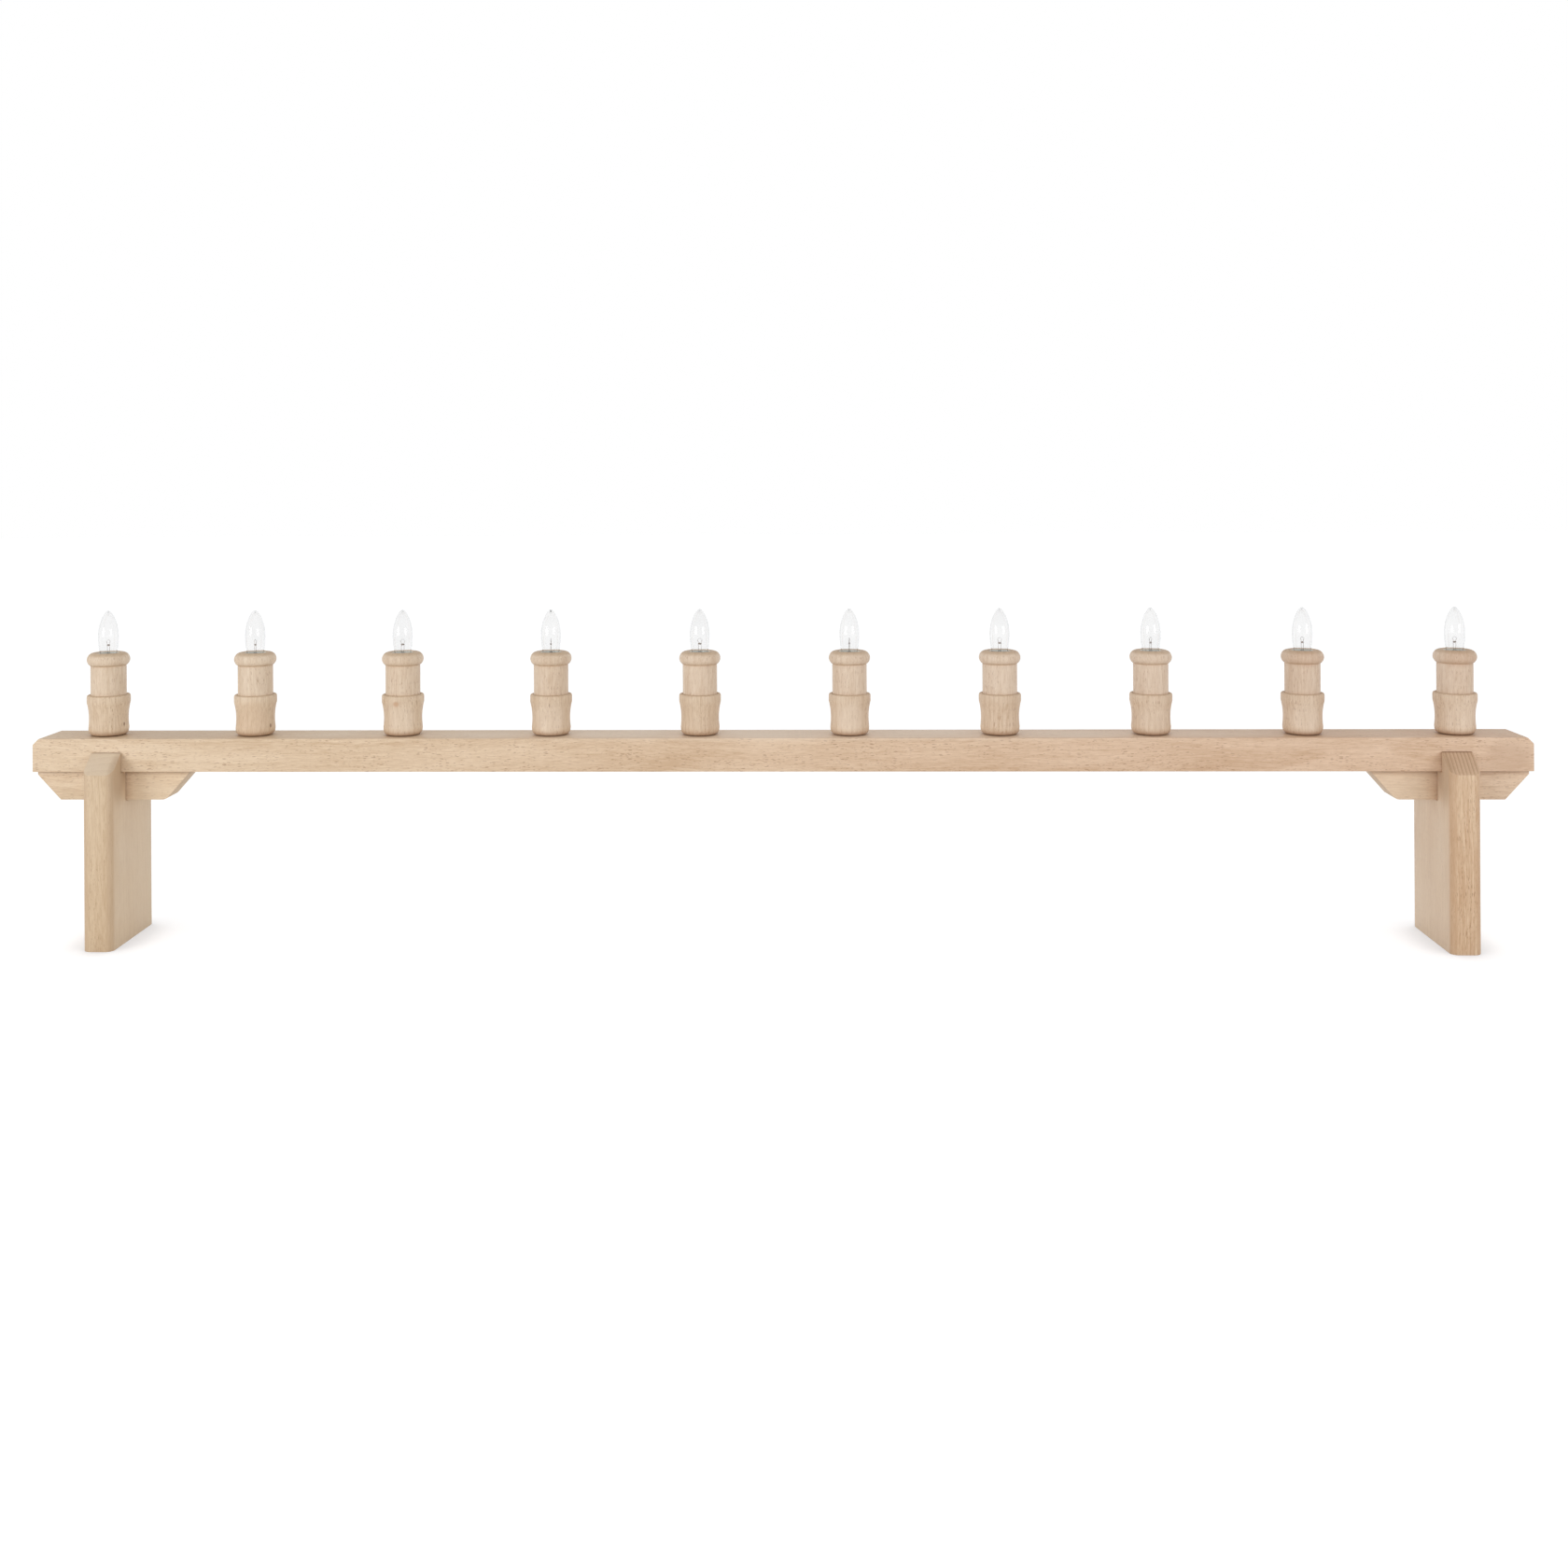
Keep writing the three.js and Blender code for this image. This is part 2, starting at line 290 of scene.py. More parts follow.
class Profile:
    """Half outline of a turned piece, as radius and height in millimetres."""

    def __init__(self, radius: float, height: float) -> None:
        """Start the outline at a radius and height."""
        self.points = [(radius, height)]

    def line(self, radius: float, height: float, steps: int = 1) -> "Profile":
        """Go straight to a radius and height, in so many steps."""
        here = Vector(self.points[-1])
        there = Vector((radius, height))
        for step in range(1, steps + 1):
            self.points.append(tuple(here.lerp(there, step / steps)))
        return self

    def bend(
        self,
        corner: tuple[float, float],
        end: tuple[float, float],
        steps: int = 6,
    ) -> "Profile":
        """Go to an end in a bend that a corner pulls on.

        Args:
            corner: where the straight lines would meet.
            end: where the bend ends.
            steps: points along it.

        Returns:
            The outline itself.
        """
        here, pull, there = Vector(self.points[-1]), Vector(corner), Vector(end)
        for step in range(1, steps + 1):
            t = step / steps
            point = here * (1 - t) ** 2 + pull * 2 * t * (1 - t) + there * t * t
            self.points.append(tuple(point))
        return self

    def sweep(
        self,
        near: tuple[float, float],
        far: tuple[float, float],
        end: tuple[float, float],
        steps: int = 12,
    ) -> "Profile":
        """Go to an end in a long curve with two handles.

        Args:
            near: handle of the start.
            far: handle of the end.
            end: where the curve ends.
            steps: points along it.

        Returns:
            The outline itself.
        """
        here, there = Vector(self.points[-1]), Vector(end)
        first, second = Vector(near), Vector(far)
        for step in range(1, steps + 1):
            t = step / steps
            u = 1 - t
            point = here * u**3 + first * 3 * u * u * t
            point += second * 3 * u * t * t + there * t**3
            self.points.append(tuple(point))
        return self

    def arc(
        self,
        centre: tuple[float, float],
        radius: float,
        start: float,
        end: float,
        steps: int,
    ) -> "Profile":
        """Follow a circle.

        Args:
            centre: its centre.
            radius: its radius.
            start: angle of the first point, in radians.
            end: angle of the last point.
            steps: steps between them.

        Returns:
            The outline itself.
        """
        for step in range(steps + 1):
            angle = start + (end - start) * step / steps
            self.points.append(
                (
                    centre[0] + radius * math.cos(angle),
                    centre[1] + radius * math.sin(angle),
                )
            )
        return self


def turned(name: str, profile: Profile, segments: int) -> Piece:
    """Turn a piece about the upright axis at the origin, ring by ring.

    Args:
        name: name of the piece.
        profile: its half outline.
        segments: sides of each ring.

    Returns:
        The turned piece with its seams closed.
    """
    deselect()
    radius, height = profile.points[0]
    radius = max(radius, POLE)
    bpy.ops.mesh.primitive_circle_add(
        vertices=segments, radius=radius * MM, location=(0, 0, height * MM)
    )
    piece = bpy.context.object
    piece.name = piece.data.name = name
    settle(piece)
    with editing(piece):
        bpy.ops.mesh.select_all(action="SELECT")
        for next_radius, next_height in profile.points[1:]:
            next_radius = max(next_radius, POLE)
            step = Vector((next_radius - radius, next_height - height))
            if step.length < POLE:
                continue
            bpy.ops.mesh.extrude_region_move(
                TRANSFORM_OT_translate={"value": (0, 0, step.y * MM)}
            )
            grow = next_radius / radius
            bpy.ops.transform.resize(value=(grow, grow, 1), center_override=(0, 0, 0))
            radius, height = next_radius, next_height
        bpy.ops.mesh.select_all(action="SELECT")
        bpy.ops.mesh.remove_doubles(threshold=4 * POLE * MM)
        bpy.ops.mesh.normals_make_consistent(inside=False)
    return piece


def wire(name: str, points: list[Vector], radius: float, sides: int = 3) -> Piece:
    """Drawn wire along a smooth line of points.

    Args:
        name: name of the piece.
        points: the line, in metres.
        radius: the wire's radius in metres.
        sides: how round the section is.

    Returns:
        The wire as a closed mesh.
    """
    curve = bpy.data.curves.new(name, "CURVE")
    curve.dimensions = "3D"
    curve.bevel_depth = radius
    curve.bevel_resolution = sides - 1
    curve.use_fill_caps = True
    curve.resolution_u = 6
    spline = curve.splines.new("NURBS")
    spline.points.add(len(points) - 1)
    for knot, point in zip(spline.points, points):
        knot.co = (*point, 1)
    spline.use_endpoint_u = True
    spline.order_u = 3
    piece = bpy.data.objects.new(name, curve)
    bpy.context.scene.collection.objects.link(piece)
    take(piece)
    bpy.ops.object.convert(target="MESH")
    return bpy.context.object


# Work on materials


class Sheet:
    """One node tree, with short ways to place and link its nodes."""

    def __init__(self, tree: bpy.types.NodeTree) -> None:
        """Work on a node tree."""
        self.tree = tree

    def add(self, kind: str, **settings: object) -> bpy.types.Node:
        """Place a node and give it its settings.

        Args:
            kind: the node's type.
            settings: its properties by name.

        Returns:
            The node.
        """
        node = self.tree.nodes.new(kind)
        for key, value in settings.items():
            setattr(node, key, value)
        return node

    def feed(self, socket: Socket, value: object) -> None:
        """Link a socket, or set its value where that is plain."""
        if isinstance(value, Socket):
            self.tree.links.new(value, socket)
        else:
            socket.default_value = value

    def maths(self, operation: str, first: object, second: object = 0.0) -> Socket:
        """Number from two numbers.

        Args:
            operation: name of the operation.
            first: first number or socket.
            second: second number or socket.

        Returns:
            The result's socket.
        """
        node = self.add("ShaderNodeMath", operation=operation)
        self.feed(node.inputs[0], first)
        self.feed(node.inputs[1], second)
        return node.outputs[0]

    def vectors(self, operation: str, first: object, second: object) -> Socket:
        """Vector from two vectors.

        Args:
            operation: name of the operation.
            first: first vector or socket.
            second: second vector or socket.

        Returns:
            The result's vector socket.
        """
        node = self.add("ShaderNodeVectorMath", operation=operation)
        self.feed(node.inputs[0], first)
        self.feed(node.inputs[1], second)
        return node.outputs[0]

    def between(
        self,
        value: Socket,
        low: object,
        high: object,
        to_low: object = 0.0,
        to_high: object = 1.0,
        soft: bool = True,
    ) -> Socket:
        """Carry a value from one range to another, and hold it there.

        Args:
            value: the value.
            low: where the first range starts.
            high: where it ends.
            to_low: what its start becomes.
            to_high: what its end becomes.
            soft: ease in and out.

        Returns:
            The carried value.
        """
        node = self.add(
            "ShaderNodeMapRange",
            interpolation_type="SMOOTHSTEP" if soft else "LINEAR",
        )
        numbers = (value, low, high, to_low, to_high)
        for socket, number in zip(node.inputs, numbers):
            self.feed(socket, number)
        return node.outputs[0]

    def mix(
        self, share: object, first: object, second: object, blend: str = "MIX"
    ) -> Socket:
        """Colour from two colours.

        Args:
            share: share of the second.
            first: first colour.
            second: second colour.
            blend: how they meet.

        Returns:
            The mixed colour's socket.
        """
        node = self.add("ShaderNodeMix", data_type="RGBA", blend_type=blend)
        self.feed(node.inputs[0], share)
        self.feed(node.inputs[6], first)
        self.feed(node.inputs[7], second)
        return node.outputs[2]

    def noise(
        self, place: Socket, scale: float, detail: float = 2.0, rough: float = 0.5
    ) -> bpy.types.Node:
        """Place a noise texture.

        Args:
            place: where it is read.
            scale: its scale.
            detail: how many finer layers it has.
            rough: how strong these are.

        Returns:
            The noise node.
        """
        node = self.add("ShaderNodeTexNoise")
        self.feed(node.inputs["Vector"], place)
        node.inputs["Scale"].default_value = scale
        node.inputs["Detail"].default_value = detail
        node.inputs["Roughness"].default_value = rough
        return node

    def stretched(self, place: Socket, along: float, across: float) -> Socket:
        """Place squeezed so that a pattern runs long with the grain."""
        return self.vectors("MULTIPLY", place, (along, across, across))


class Group:
    """Shader node group under construction."""

    def __init__(
        self,
        name: str,
        inputs: list[tuple[str, str, object]],
        outputs: list[tuple[str, str]],
    ) -> None:
        """Make the group and its sockets.

        Args:
            name: name of the group.
            inputs: name, socket type and default of each input.
            outputs: name and socket type of each output.
        """
        self.tree = bpy.data.node_groups.new(name, "ShaderNodeTree")
        for label, kind, default in inputs:
            socket = self.tree.interface.new_socket(
                label, in_out="INPUT", socket_type="NodeSocket" + kind
            )
            if default is not None:
                socket.default_value = default
        for label, kind in outputs:
            self.tree.interface.new_socket(
                label, in_out="OUTPUT", socket_type="NodeSocket" + kind
            )
        self.sheet = Sheet(self.tree)
        self.inputs = self.sheet.add("NodeGroupInput").outputs
        self.outputs = self.sheet.add("NodeGroupOutput").inputs


def beech_figure() -> bpy.types.NodeTree:
    """Figure of beech: rings, fibres and short dark ray flecks, grain along X.

    Returns:
        The node group.
    """
    group = Group(
        "beech figure",
        [
            ("Place", "Vector", None),
            ("Facing", "Vector", None),
            ("Light", "Color", screen(224, 200, 168)),
            ("Dark", "Color", screen(198, 165, 130)),
            ("Fleck", "Color", screen(150, 110, 78)),
            ("End", "Color", screen(205, 178, 148)),
            ("End Rings", "Float", 0.2),
            ("Ring Width", "Float", 0.004),
            ("Ring Strength", "Float", 0.4),
            ("Fleck Strength", "Float", 0.6),
            ("Streak Strength", "Float", 0.6),
        ],
        [("Color", "Color"), ("Roughness", "Float"), ("Height", "Float")],
    )
    sheet, given, out = group.sheet, group.inputs, group.outputs
    place = given["Place"]

    # the grain wanders a little from straight
    slow = sheet.noise(sheet.stretched(place, 7, 22), 1.0, 1.0)
    shift = sheet.vectors("SUBTRACT", slow.outputs["Color"], (0.5, 0.5, 0.5))
    shift = sheet.vectors("MULTIPLY", shift, (0, 0.012, 0.012))
    bent = sheet.vectors("ADD", place, shift)

    # growth rings round the pith, which lies along X
    flat = sheet.vectors("MULTIPLY", bent, (0.02, 1, 1))
    length = sheet.add("ShaderNodeVectorMath", operation="LENGTH")
    sheet.feed(length.inputs[0], flat)
    turns = sheet.maths("DIVIDE", length.outputs["Value"], given["Ring Width"])
    share = sheet.maths("FRACT", turns)
    ring = sheet.maths("POWER", share, 3.0)
    fall = sheet.between(share, 0.93, 1.0, 1.0, 0.0)
    ring = sheet.maths("MULTIPLY", ring, fall)

    # streaks, fibres and broad drift of tone
    streak = sheet.noise(sheet.stretched(bent, 14, 420), 1.0, 3.0, 0.6)
    fibre = sheet.noise(sheet.stretched(bent, 130, 1500), 1.0, 2.0, 0.6)
    drift = sheet.noise(sheet.stretched(place, 9, 28), 1.0, 2.0)
    tone = sheet.between(streak.outputs[0], 0.3, 0.7, -0.5, 0.5, False)
    tone = sheet.maths("MULTIPLY", tone, given["Streak Strength"])
    grey = sheet.between(drift.outputs[0], 0.3, 0.7, -0.28, 0.28, False)
    fine = sheet.between(fibre.outputs[0], 0.3, 0.7, -0.4, 0.4, False)
    late = sheet.maths("MULTIPLY", ring, given["Ring Strength"])
    tone = sheet.maths("ADD", tone, sheet.maths("ADD", grey, fine))
    tone = sheet.maths("ADD", sheet.maths("ADD", tone, late), 0.38)
    tone = sheet.between(tone, 0.0, 1.0, 0.0, 1.0, False)
    colour = sheet.mix(tone, given["Light"], given["Dark"])

    # ray flecks: spindles along the grain, long and short ones
    flecks = None
    long_ones, short_ones = (200, 900, 0.36), (310, 1600, 0.34)
    for along, across, largest in (long_ones, short_ones):
        cells = sheet.add("ShaderNodeTexVoronoi", feature="F1")
        sheet.feed(cells.inputs["Vector"], sheet.stretched(bent, along, across))
        cells.inputs["Scale"].default_value = 1.0
        parts = sheet.add("ShaderNodeSeparateColor")
        sheet.feed(parts.inputs[0], cells.outputs["Color"])
        reach = sheet.between(parts.outputs[0], 0.0, 1.0, 0.1, largest, False)
        inner = sheet.maths("SUBTRACT", reach, cells.outputs["Distance"])
        mask = sheet.between(inner, 0.0, 0.12)
        flecks = mask if flecks is None else sheet.maths("MAXIMUM", flecks, mask)
    patchy = sheet.noise(sheet.stretched(place, 26, 90), 1.0, 1.0)
    many = sheet.between(patchy.outputs[0], 0.35, 0.6, 0.35, 1.0)
    dark = sheet.maths("MULTIPLY", flecks, given["Fleck Strength"])
    dark = sheet.maths("MULTIPLY", dark, many)
    colour = sheet.mix(dark, colour, given["Fleck"])

    # end grain drinks more and shows its rings
    facing = sheet.add("ShaderNodeSeparateXYZ")
    sheet.feed(facing.inputs[0], given["Facing"])
    across_grain = sheet.maths("ABSOLUTE", facing.outputs[0])
    end = sheet.between(across_grain, 0.45, 0.85)
    dull = sheet.mix(0.75, colour, given["End"])
    ringed = sheet.maths("MULTIPLY", ring, given["End Rings"])
    dull = sheet.mix(ringed, dull, given["Fleck"])
    colour = sheet.mix(end, colour, dull)

    sheet.feed(out["Color"], colour)
    rough = sheet.between(fibre.outputs[0], 0.25, 0.75, -0.05, 0.06, False)
    rough = sheet.maths("ADD", rough, sheet.maths("MULTIPLY", end, 0.1))
    sheet.feed(out["Roughness"], rough)
    height = sheet.maths("SUBTRACT", fibre.outputs[0], dark)
    height = sheet.maths("SUBTRACT", height, sheet.maths("MULTIPLY", ring, 0.3))
    sheet.feed(out["Height"], height)
    return group.tree


def edge_mask() -> bpy.types.NodeTree:
    """Mask of the edges that hands and sanding reach first.

    Returns:
        The node group.
    """
    group = Group("edge mask", [("Full Below", "Float", 0.8)], [("Mask", "Float")])
    sheet = group.sheet
    rounded = sheet.add("ShaderNodeBevel", samples=6)
    rounded.inputs["Radius"].default_value = 1.1 * MM
    true = sheet.add("ShaderNodeNewGeometry")
    dot = sheet.add("ShaderNodeVectorMath", operation="DOT_PRODUCT")
    sheet.feed(dot.inputs[0], rounded.outputs[0])
    sheet.feed(dot.inputs[1], true.outputs["Normal"])
    full = group.inputs["Full Below"]
    bare = sheet.between(dot.outputs["Value"], full, 0.99, 1.0, 0.0)
    place = sheet.add("ShaderNodeTexCoord").outputs["Object"]
    patchy = sheet.noise(place, 90.0, 3.0)
    worn = sheet.between(patchy.outputs[0], 0.35, 0.65, 0.25, 1.0)
    sheet.feed(group.outputs["Mask"], sheet.maths("MULTIPLY", bare, worn))
    return group.tree


def handling_marks() -> bpy.types.NodeTree:
    """Faint smudges and dust that break up an even finish.

    Returns:
        The node group.
    """
    group = Group(
        "handling marks",
        [("Scale", "Float", 60.0)],
        [("Smudge", "Float"), ("Speck", "Float")],
    )
    sheet = group.sheet
    place = sheet.add("ShaderNodeTexCoord").outputs["Object"]
    broad = sheet.add("ShaderNodeTexNoise")
    sheet.feed(broad.inputs["Vector"], place)
    sheet.feed(broad.inputs["Scale"], group.inputs["Scale"])
    broad.inputs["Detail"].default_value = 4.0
    sheet.feed(group.outputs["Smudge"], sheet.between(broad.outputs[0], 0.35, 0.7))
    fine = sheet.noise(place, 4200.0, 1.0)
    sheet.feed(group.outputs["Speck"], sheet.between(fine.outputs[0], 0.62, 0.74))
    return group.tree


class Grain(Enum):
    """Which way the wood's fibres run."""

    ALONG_BAR = (0.0, 0.0, 0.0)
    UPRIGHT = (0.0, math.pi / 2, 0.0)


@dataclass(frozen=True)
class Groups:
    """Node groups that several finishes share."""

    figure: bpy.types.NodeTree = field(default_factory=beech_figure)
    edges: bpy.types.NodeTree = field(default_factory=edge_mask)
    marks: bpy.types.NodeTree = field(default_factory=handling_marks)


GROUPS = Groups()


def new_material(name: str) -> tuple[bpy.types.Material, Sheet, bpy.types.Node]:
    """Start a material.

    Args:
        name: name of the material.

    Returns:
        The material, its node sheet and its Principled shader.
    """
    material = bpy.data.materials.new(name)
    material.use_nodes = True
    sheet = Sheet(material.node_tree)
    return material, sheet, material.node_tree.nodes["Principled BSDF"]


@dataclass(frozen=True)
class SpotAndPaintedShade:
    """Soft spot laid over the wood's colour; some are knots, specks and tones of the
    wood, and some are painted shade.

    Attributes:
        place: its middle, in metres.
        reach: how far it reaches each way, in millimetres.
        colour: its colour.
        strength: how strong it is.
    """

    place: tuple[float, float, float]
    reach: tuple[float, float, float]
    colour: Colour
    strength: float

    def over(self, sheet: Sheet, place: Socket, under: Socket) -> Socket:
        """Lay the spot over the wood's colour.

        Args:
            sheet: the node sheet to work on.
            place: place on the piece.
            under: the wood's colour.

        Returns:
            The colour with the spot in it.
        """
        away = sheet.vectors("SUBTRACT", place, self.place)
        reach = tuple(side * MM for side in self.reach)
        away = sheet.vectors("DIVIDE", away, reach)
        length = sheet.add("ShaderNodeVectorMath", operation="LENGTH")
        sheet.feed(length.inputs[0], away)
        share = sheet.between(length.outputs["Value"], 0.35, 1.0, self.strength, 0.0)
        return sheet.mix(share, under, self.colour)


@dataclass(frozen=True)
class PaintedJointShade:
    """Painted shade next to a joint that runs level, darker towards the joint.

    Attributes:
        open_height: height where it starts, in metres.
        joint_height: height of the joint, in metres.
        strength: how strong it is at the joint.
        colour: its colour.
    """

    open_height: float
    joint_height: float
    strength: float
    colour: Colour = screen(122, 82, 58)

    def over(self, sheet: Sheet, height: Socket, under: Socket) -> Socket:
        """Lay the painted shade over the wood's colour.

        Args:
            sheet: the node sheet to work on.
            height: height on the piece.
            under: the wood's colour.

        Returns:
            The colour with the painted shade in it.
        """
        near = sheet.between(height, self.open_height, self.joint_height)
        share = sheet.maths("MULTIPLY", sheet.maths("POWER", near, 2.0), self.strength)
        return sheet.mix(share, under, self.colour)


@dataclass(frozen=True)
class Beech:
    """Finish of planed or turned beech, bare with a thin clear oil.

    Attributes:
        name: name of the finish.
        grain: which way the fibres run.
        light: early wood.
        dark: late wood.
        fleck: ray flecks.
        end: sawn end grain.
        end_rings: how dark the rings are there.
        pith: offset of the pith from the piece, in grain space, in metres.
        ring_width: distance between rings, in metres.
        ring_strength: how dark the rings are.
        fleck_strength: how dark the flecks are.
        streak_strength: how uneven the tone is.
        roughness: mean roughness.
        bump: how much the grain stands up.
        near_tint: what the colour is multiplied by towards the bar's left end.
        far_tint: the same towards the right end.
        corner_tone: how much darker rounded upright corners are.
        broad: paler colour painted on the faces at right angles to the bar, as painted
            light.
        painted_side_light_share: how much of that painted light they take.
        spots_and_painted_shade: soft spots; knots, specks and tones of the wood, and
            painted shade.
        painted_joint_shades: painted shade at level joints, darker towards each joint.
    """

    name: str
    grain: Grain
    light: Colour = screen(226, 203, 172)
    dark: Colour = screen(203, 171, 137)
    fleck: Colour = screen(152, 108, 78)
    end: Colour = screen(205, 178, 148)
    end_rings: float = 0.2
    pith: tuple[float, float, float] = (0.3, 0.07, 0.01)
    ring_width: float = 0.0045
    ring_strength: float = 0.35
    fleck_strength: float = 0.6
    streak_strength: float = 0.6
    roughness: float = 0.54
    bump: float = 0.12
    near_tint: Colour = screen(255, 255, 252)
    far_tint: Colour = screen(250, 247, 246)
    corner_tone: float = 0.0
    broad: Colour = screen(222, 200, 172)
    painted_side_light_share: float = 0.0
    spots_and_painted_shade: tuple[SpotAndPaintedShade, ...] = ()
    painted_joint_shades: tuple[PaintedJointShade, ...] = ()

    def material(self) -> bpy.types.Material:
        """Make the material.

        Returns:
            The beech material.
        """
        material, sheet, shader = new_material(self.name)
        coordinates = sheet.add("ShaderNodeTexCoord")
        place = sheet.add("ShaderNodeMapping", vector_type="POINT")
        sheet.feed(place.inputs["Vector"], coordinates.outputs["Object"])
        place.inputs["Location"].default_value = self.pith
        place.inputs["Rotation"].default_value = self.grain.value
        facing = sheet.add("ShaderNodeMapping", vector_type="VECTOR")
        sheet.feed(facing.inputs["Vector"], coordinates.outputs["Normal"])
        facing.inputs["Rotation"].default_value = self.grain.value

        figure = sheet.add("ShaderNodeGroup", node_tree=GROUPS.figure)
        sheet.feed(figure.inputs["Place"], place.outputs[0])
        sheet.feed(figure.inputs["Facing"], facing.outputs[0])
        for label, value in (
            ("Light", self.light),
            ("Dark", self.dark),
            ("Fleck", self.fleck),
            ("End", self.end),
            ("End Rings", self.end_rings),
            ("Ring Width", self.ring_width),
            ("Ring Strength", self.ring_strength),
            ("Fleck Strength", self.fleck_strength),
            ("Streak Strength", self.streak_strength),
        ):
            figure.inputs[label].default_value = value

        colour = figure.outputs["Color"]
        if self.painted_side_light_share:
            # painted light: the board's broad faces are painted paler, as if lit more
            faced = sheet.add("ShaderNodeSeparateXYZ")
            sheet.feed(faced.inputs[0], coordinates.outputs["Normal"])
            turned_away = sheet.maths("ABSOLUTE", faced.outputs[0])
            share = sheet.between(turned_away, 0.8, 0.99, 0.0, self.painted_side_light_share)
            colour = sheet.mix(share, colour, self.broad)

        # the wood drifts from yellow on the left to pink on the right
        across = sheet.add("ShaderNodeSeparateXYZ")
        sheet.feed(across.inputs[0], coordinates.outputs["Object"])
        side = sheet.between(across.outputs[0], -0.45, 0.38)
        tint = sheet.mix(side, self.near_tint, self.far_tint)
        colour = sheet.mix(1.0, colour, tint, "MULTIPLY")
        # knots, specks and tones of the wood, and painted shade, laid over the colour
        for spot in self.spots_and_painted_shade:
            colour = spot.over(sheet, coordinates.outputs["Object"], colour)
        # painted shade towards level joints
        for joint_shade in self.painted_joint_shades:
            colour = joint_shade.over(sheet, across.outputs[2], colour)

        if self.corner_tone:
            # rounded upright corners are mixed towards the dark wood colour
            normal = sheet.add("ShaderNodeSeparateXYZ")
            sheet.feed(normal.inputs[0], coordinates.outputs["Normal"])
            slant = sheet.maths("MULTIPLY", normal.outputs[0], normal.outputs[1])
            corner = sheet.between(sheet.maths("ABSOLUTE", slant), 0.06, 0.4)
            corner_darkening = sheet.maths("MULTIPLY", corner, self.corner_tone)
            colour = sheet.mix(corner_darkening, colour, self.dark)

        edges = sheet.add("ShaderNodeGroup", node_tree=GROUPS.edges)
        worn = sheet.maths("MULTIPLY", edges.outputs["Mask"], 0.22)
        colour = sheet.mix(worn, colour, self.dark)
        sheet.feed(shader.inputs["Base Color"], colour)

        marks = sheet.add("ShaderNodeGroup", node_tree=GROUPS.marks)
        marks.inputs["Scale"].default_value = 35.0
        handled = sheet.maths("MULTIPLY", marks.outputs["Smudge"], -0.06)
        rough = sheet.maths("ADD", figure.outputs["Roughness"], handled)
        rough = sheet.maths("ADD", rough, self.roughness)
        sheet.feed(shader.inputs["Roughness"], rough)

        bump = sheet.add("ShaderNodeBump")
        bump.inputs["Strength"].default_value = self.bump
        bump.inputs["Distance"].default_value = 0.15 * MM
        sheet.feed(bump.inputs["Height"], figure.outputs["Height"])
        sheet.feed(shader.inputs["Normal"], bump.outputs[0])
        shader.inputs["Specular IOR Level"].default_value = 0.5
        return material


@dataclass(frozen=True)
class Glass:
    """Finish of clear or dark glass.

    Attributes:
        name: name of the finish.
        colour: tint of the glass seen square on.
        edge_shade_and_smudge: painted shade, a darker tint where its wall is seen edge
            on, and the colour that smudges take.
        clear: how much light goes through.
        roughness: mean roughness.
        lets_light_in: lamps shine through it unbent.
    """

    name: str
    colour: Colour
    edge_shade_and_smudge: Colour
    clear: float = 1.0
    roughness: float = 0.0
    lets_light_in: bool = True

    def material(self) -> bpy.types.Material:
        """Make the material.

        Returns:
            The glass material.
        """
        material, sheet, shader = new_material(self.name)
        # painted shade: the glass is tinted darker where its wall is seen edge on
        slant = sheet.add("ShaderNodeLayerWeight")
        slant.inputs["Blend"].default_value = 0.5
        edge = sheet.between(slant.outputs["Facing"], 0.5, 0.9)
        tint = sheet.mix(edge, self.colour, self.edge_shade_and_smudge)
        marks = sheet.add("ShaderNodeGroup", node_tree=GROUPS.marks)
        marks.inputs["Scale"].default_value = 70.0
        smudge = sheet.maths("MULTIPLY", marks.outputs["Smudge"], 0.1)
        tint = sheet.mix(smudge, tint, self.edge_shade_and_smudge)
        sheet.feed(shader.inputs["Base Color"], tint)
        rough = sheet.maths("MULTIPLY", marks.outputs["Smudge"], 0.01)
        rough = sheet.maths("ADD", rough, self.roughness)
        sheet.feed(shader.inputs["Roughness"], rough)
        shader.inputs["Metallic"].default_value = 0.0
        shader.inputs["Transmission Weight"].default_value = self.clear
        shader.inputs["IOR"].default_value = 1.5
        if self.lets_light_in:
            path = sheet.add("ShaderNodeLightPath")
            unseen = sheet.maths(
                "MAXIMUM", path.outputs["Is Shadow Ray"], path.outputs["Is Diffuse Ray"]
            )
            through = sheet.add("ShaderNodeBsdfTransparent")
            either = sheet.add("ShaderNodeMixShader")
            sheet.feed(either.inputs[0], unseen)
            sheet.feed(either.inputs[1], shader.outputs[0])
            sheet.feed(either.inputs[2], through.outputs[0])
            output = material.node_tree.nodes["Material Output"]
            sheet.feed(output.inputs["Surface"], either.outputs[0])
        return material


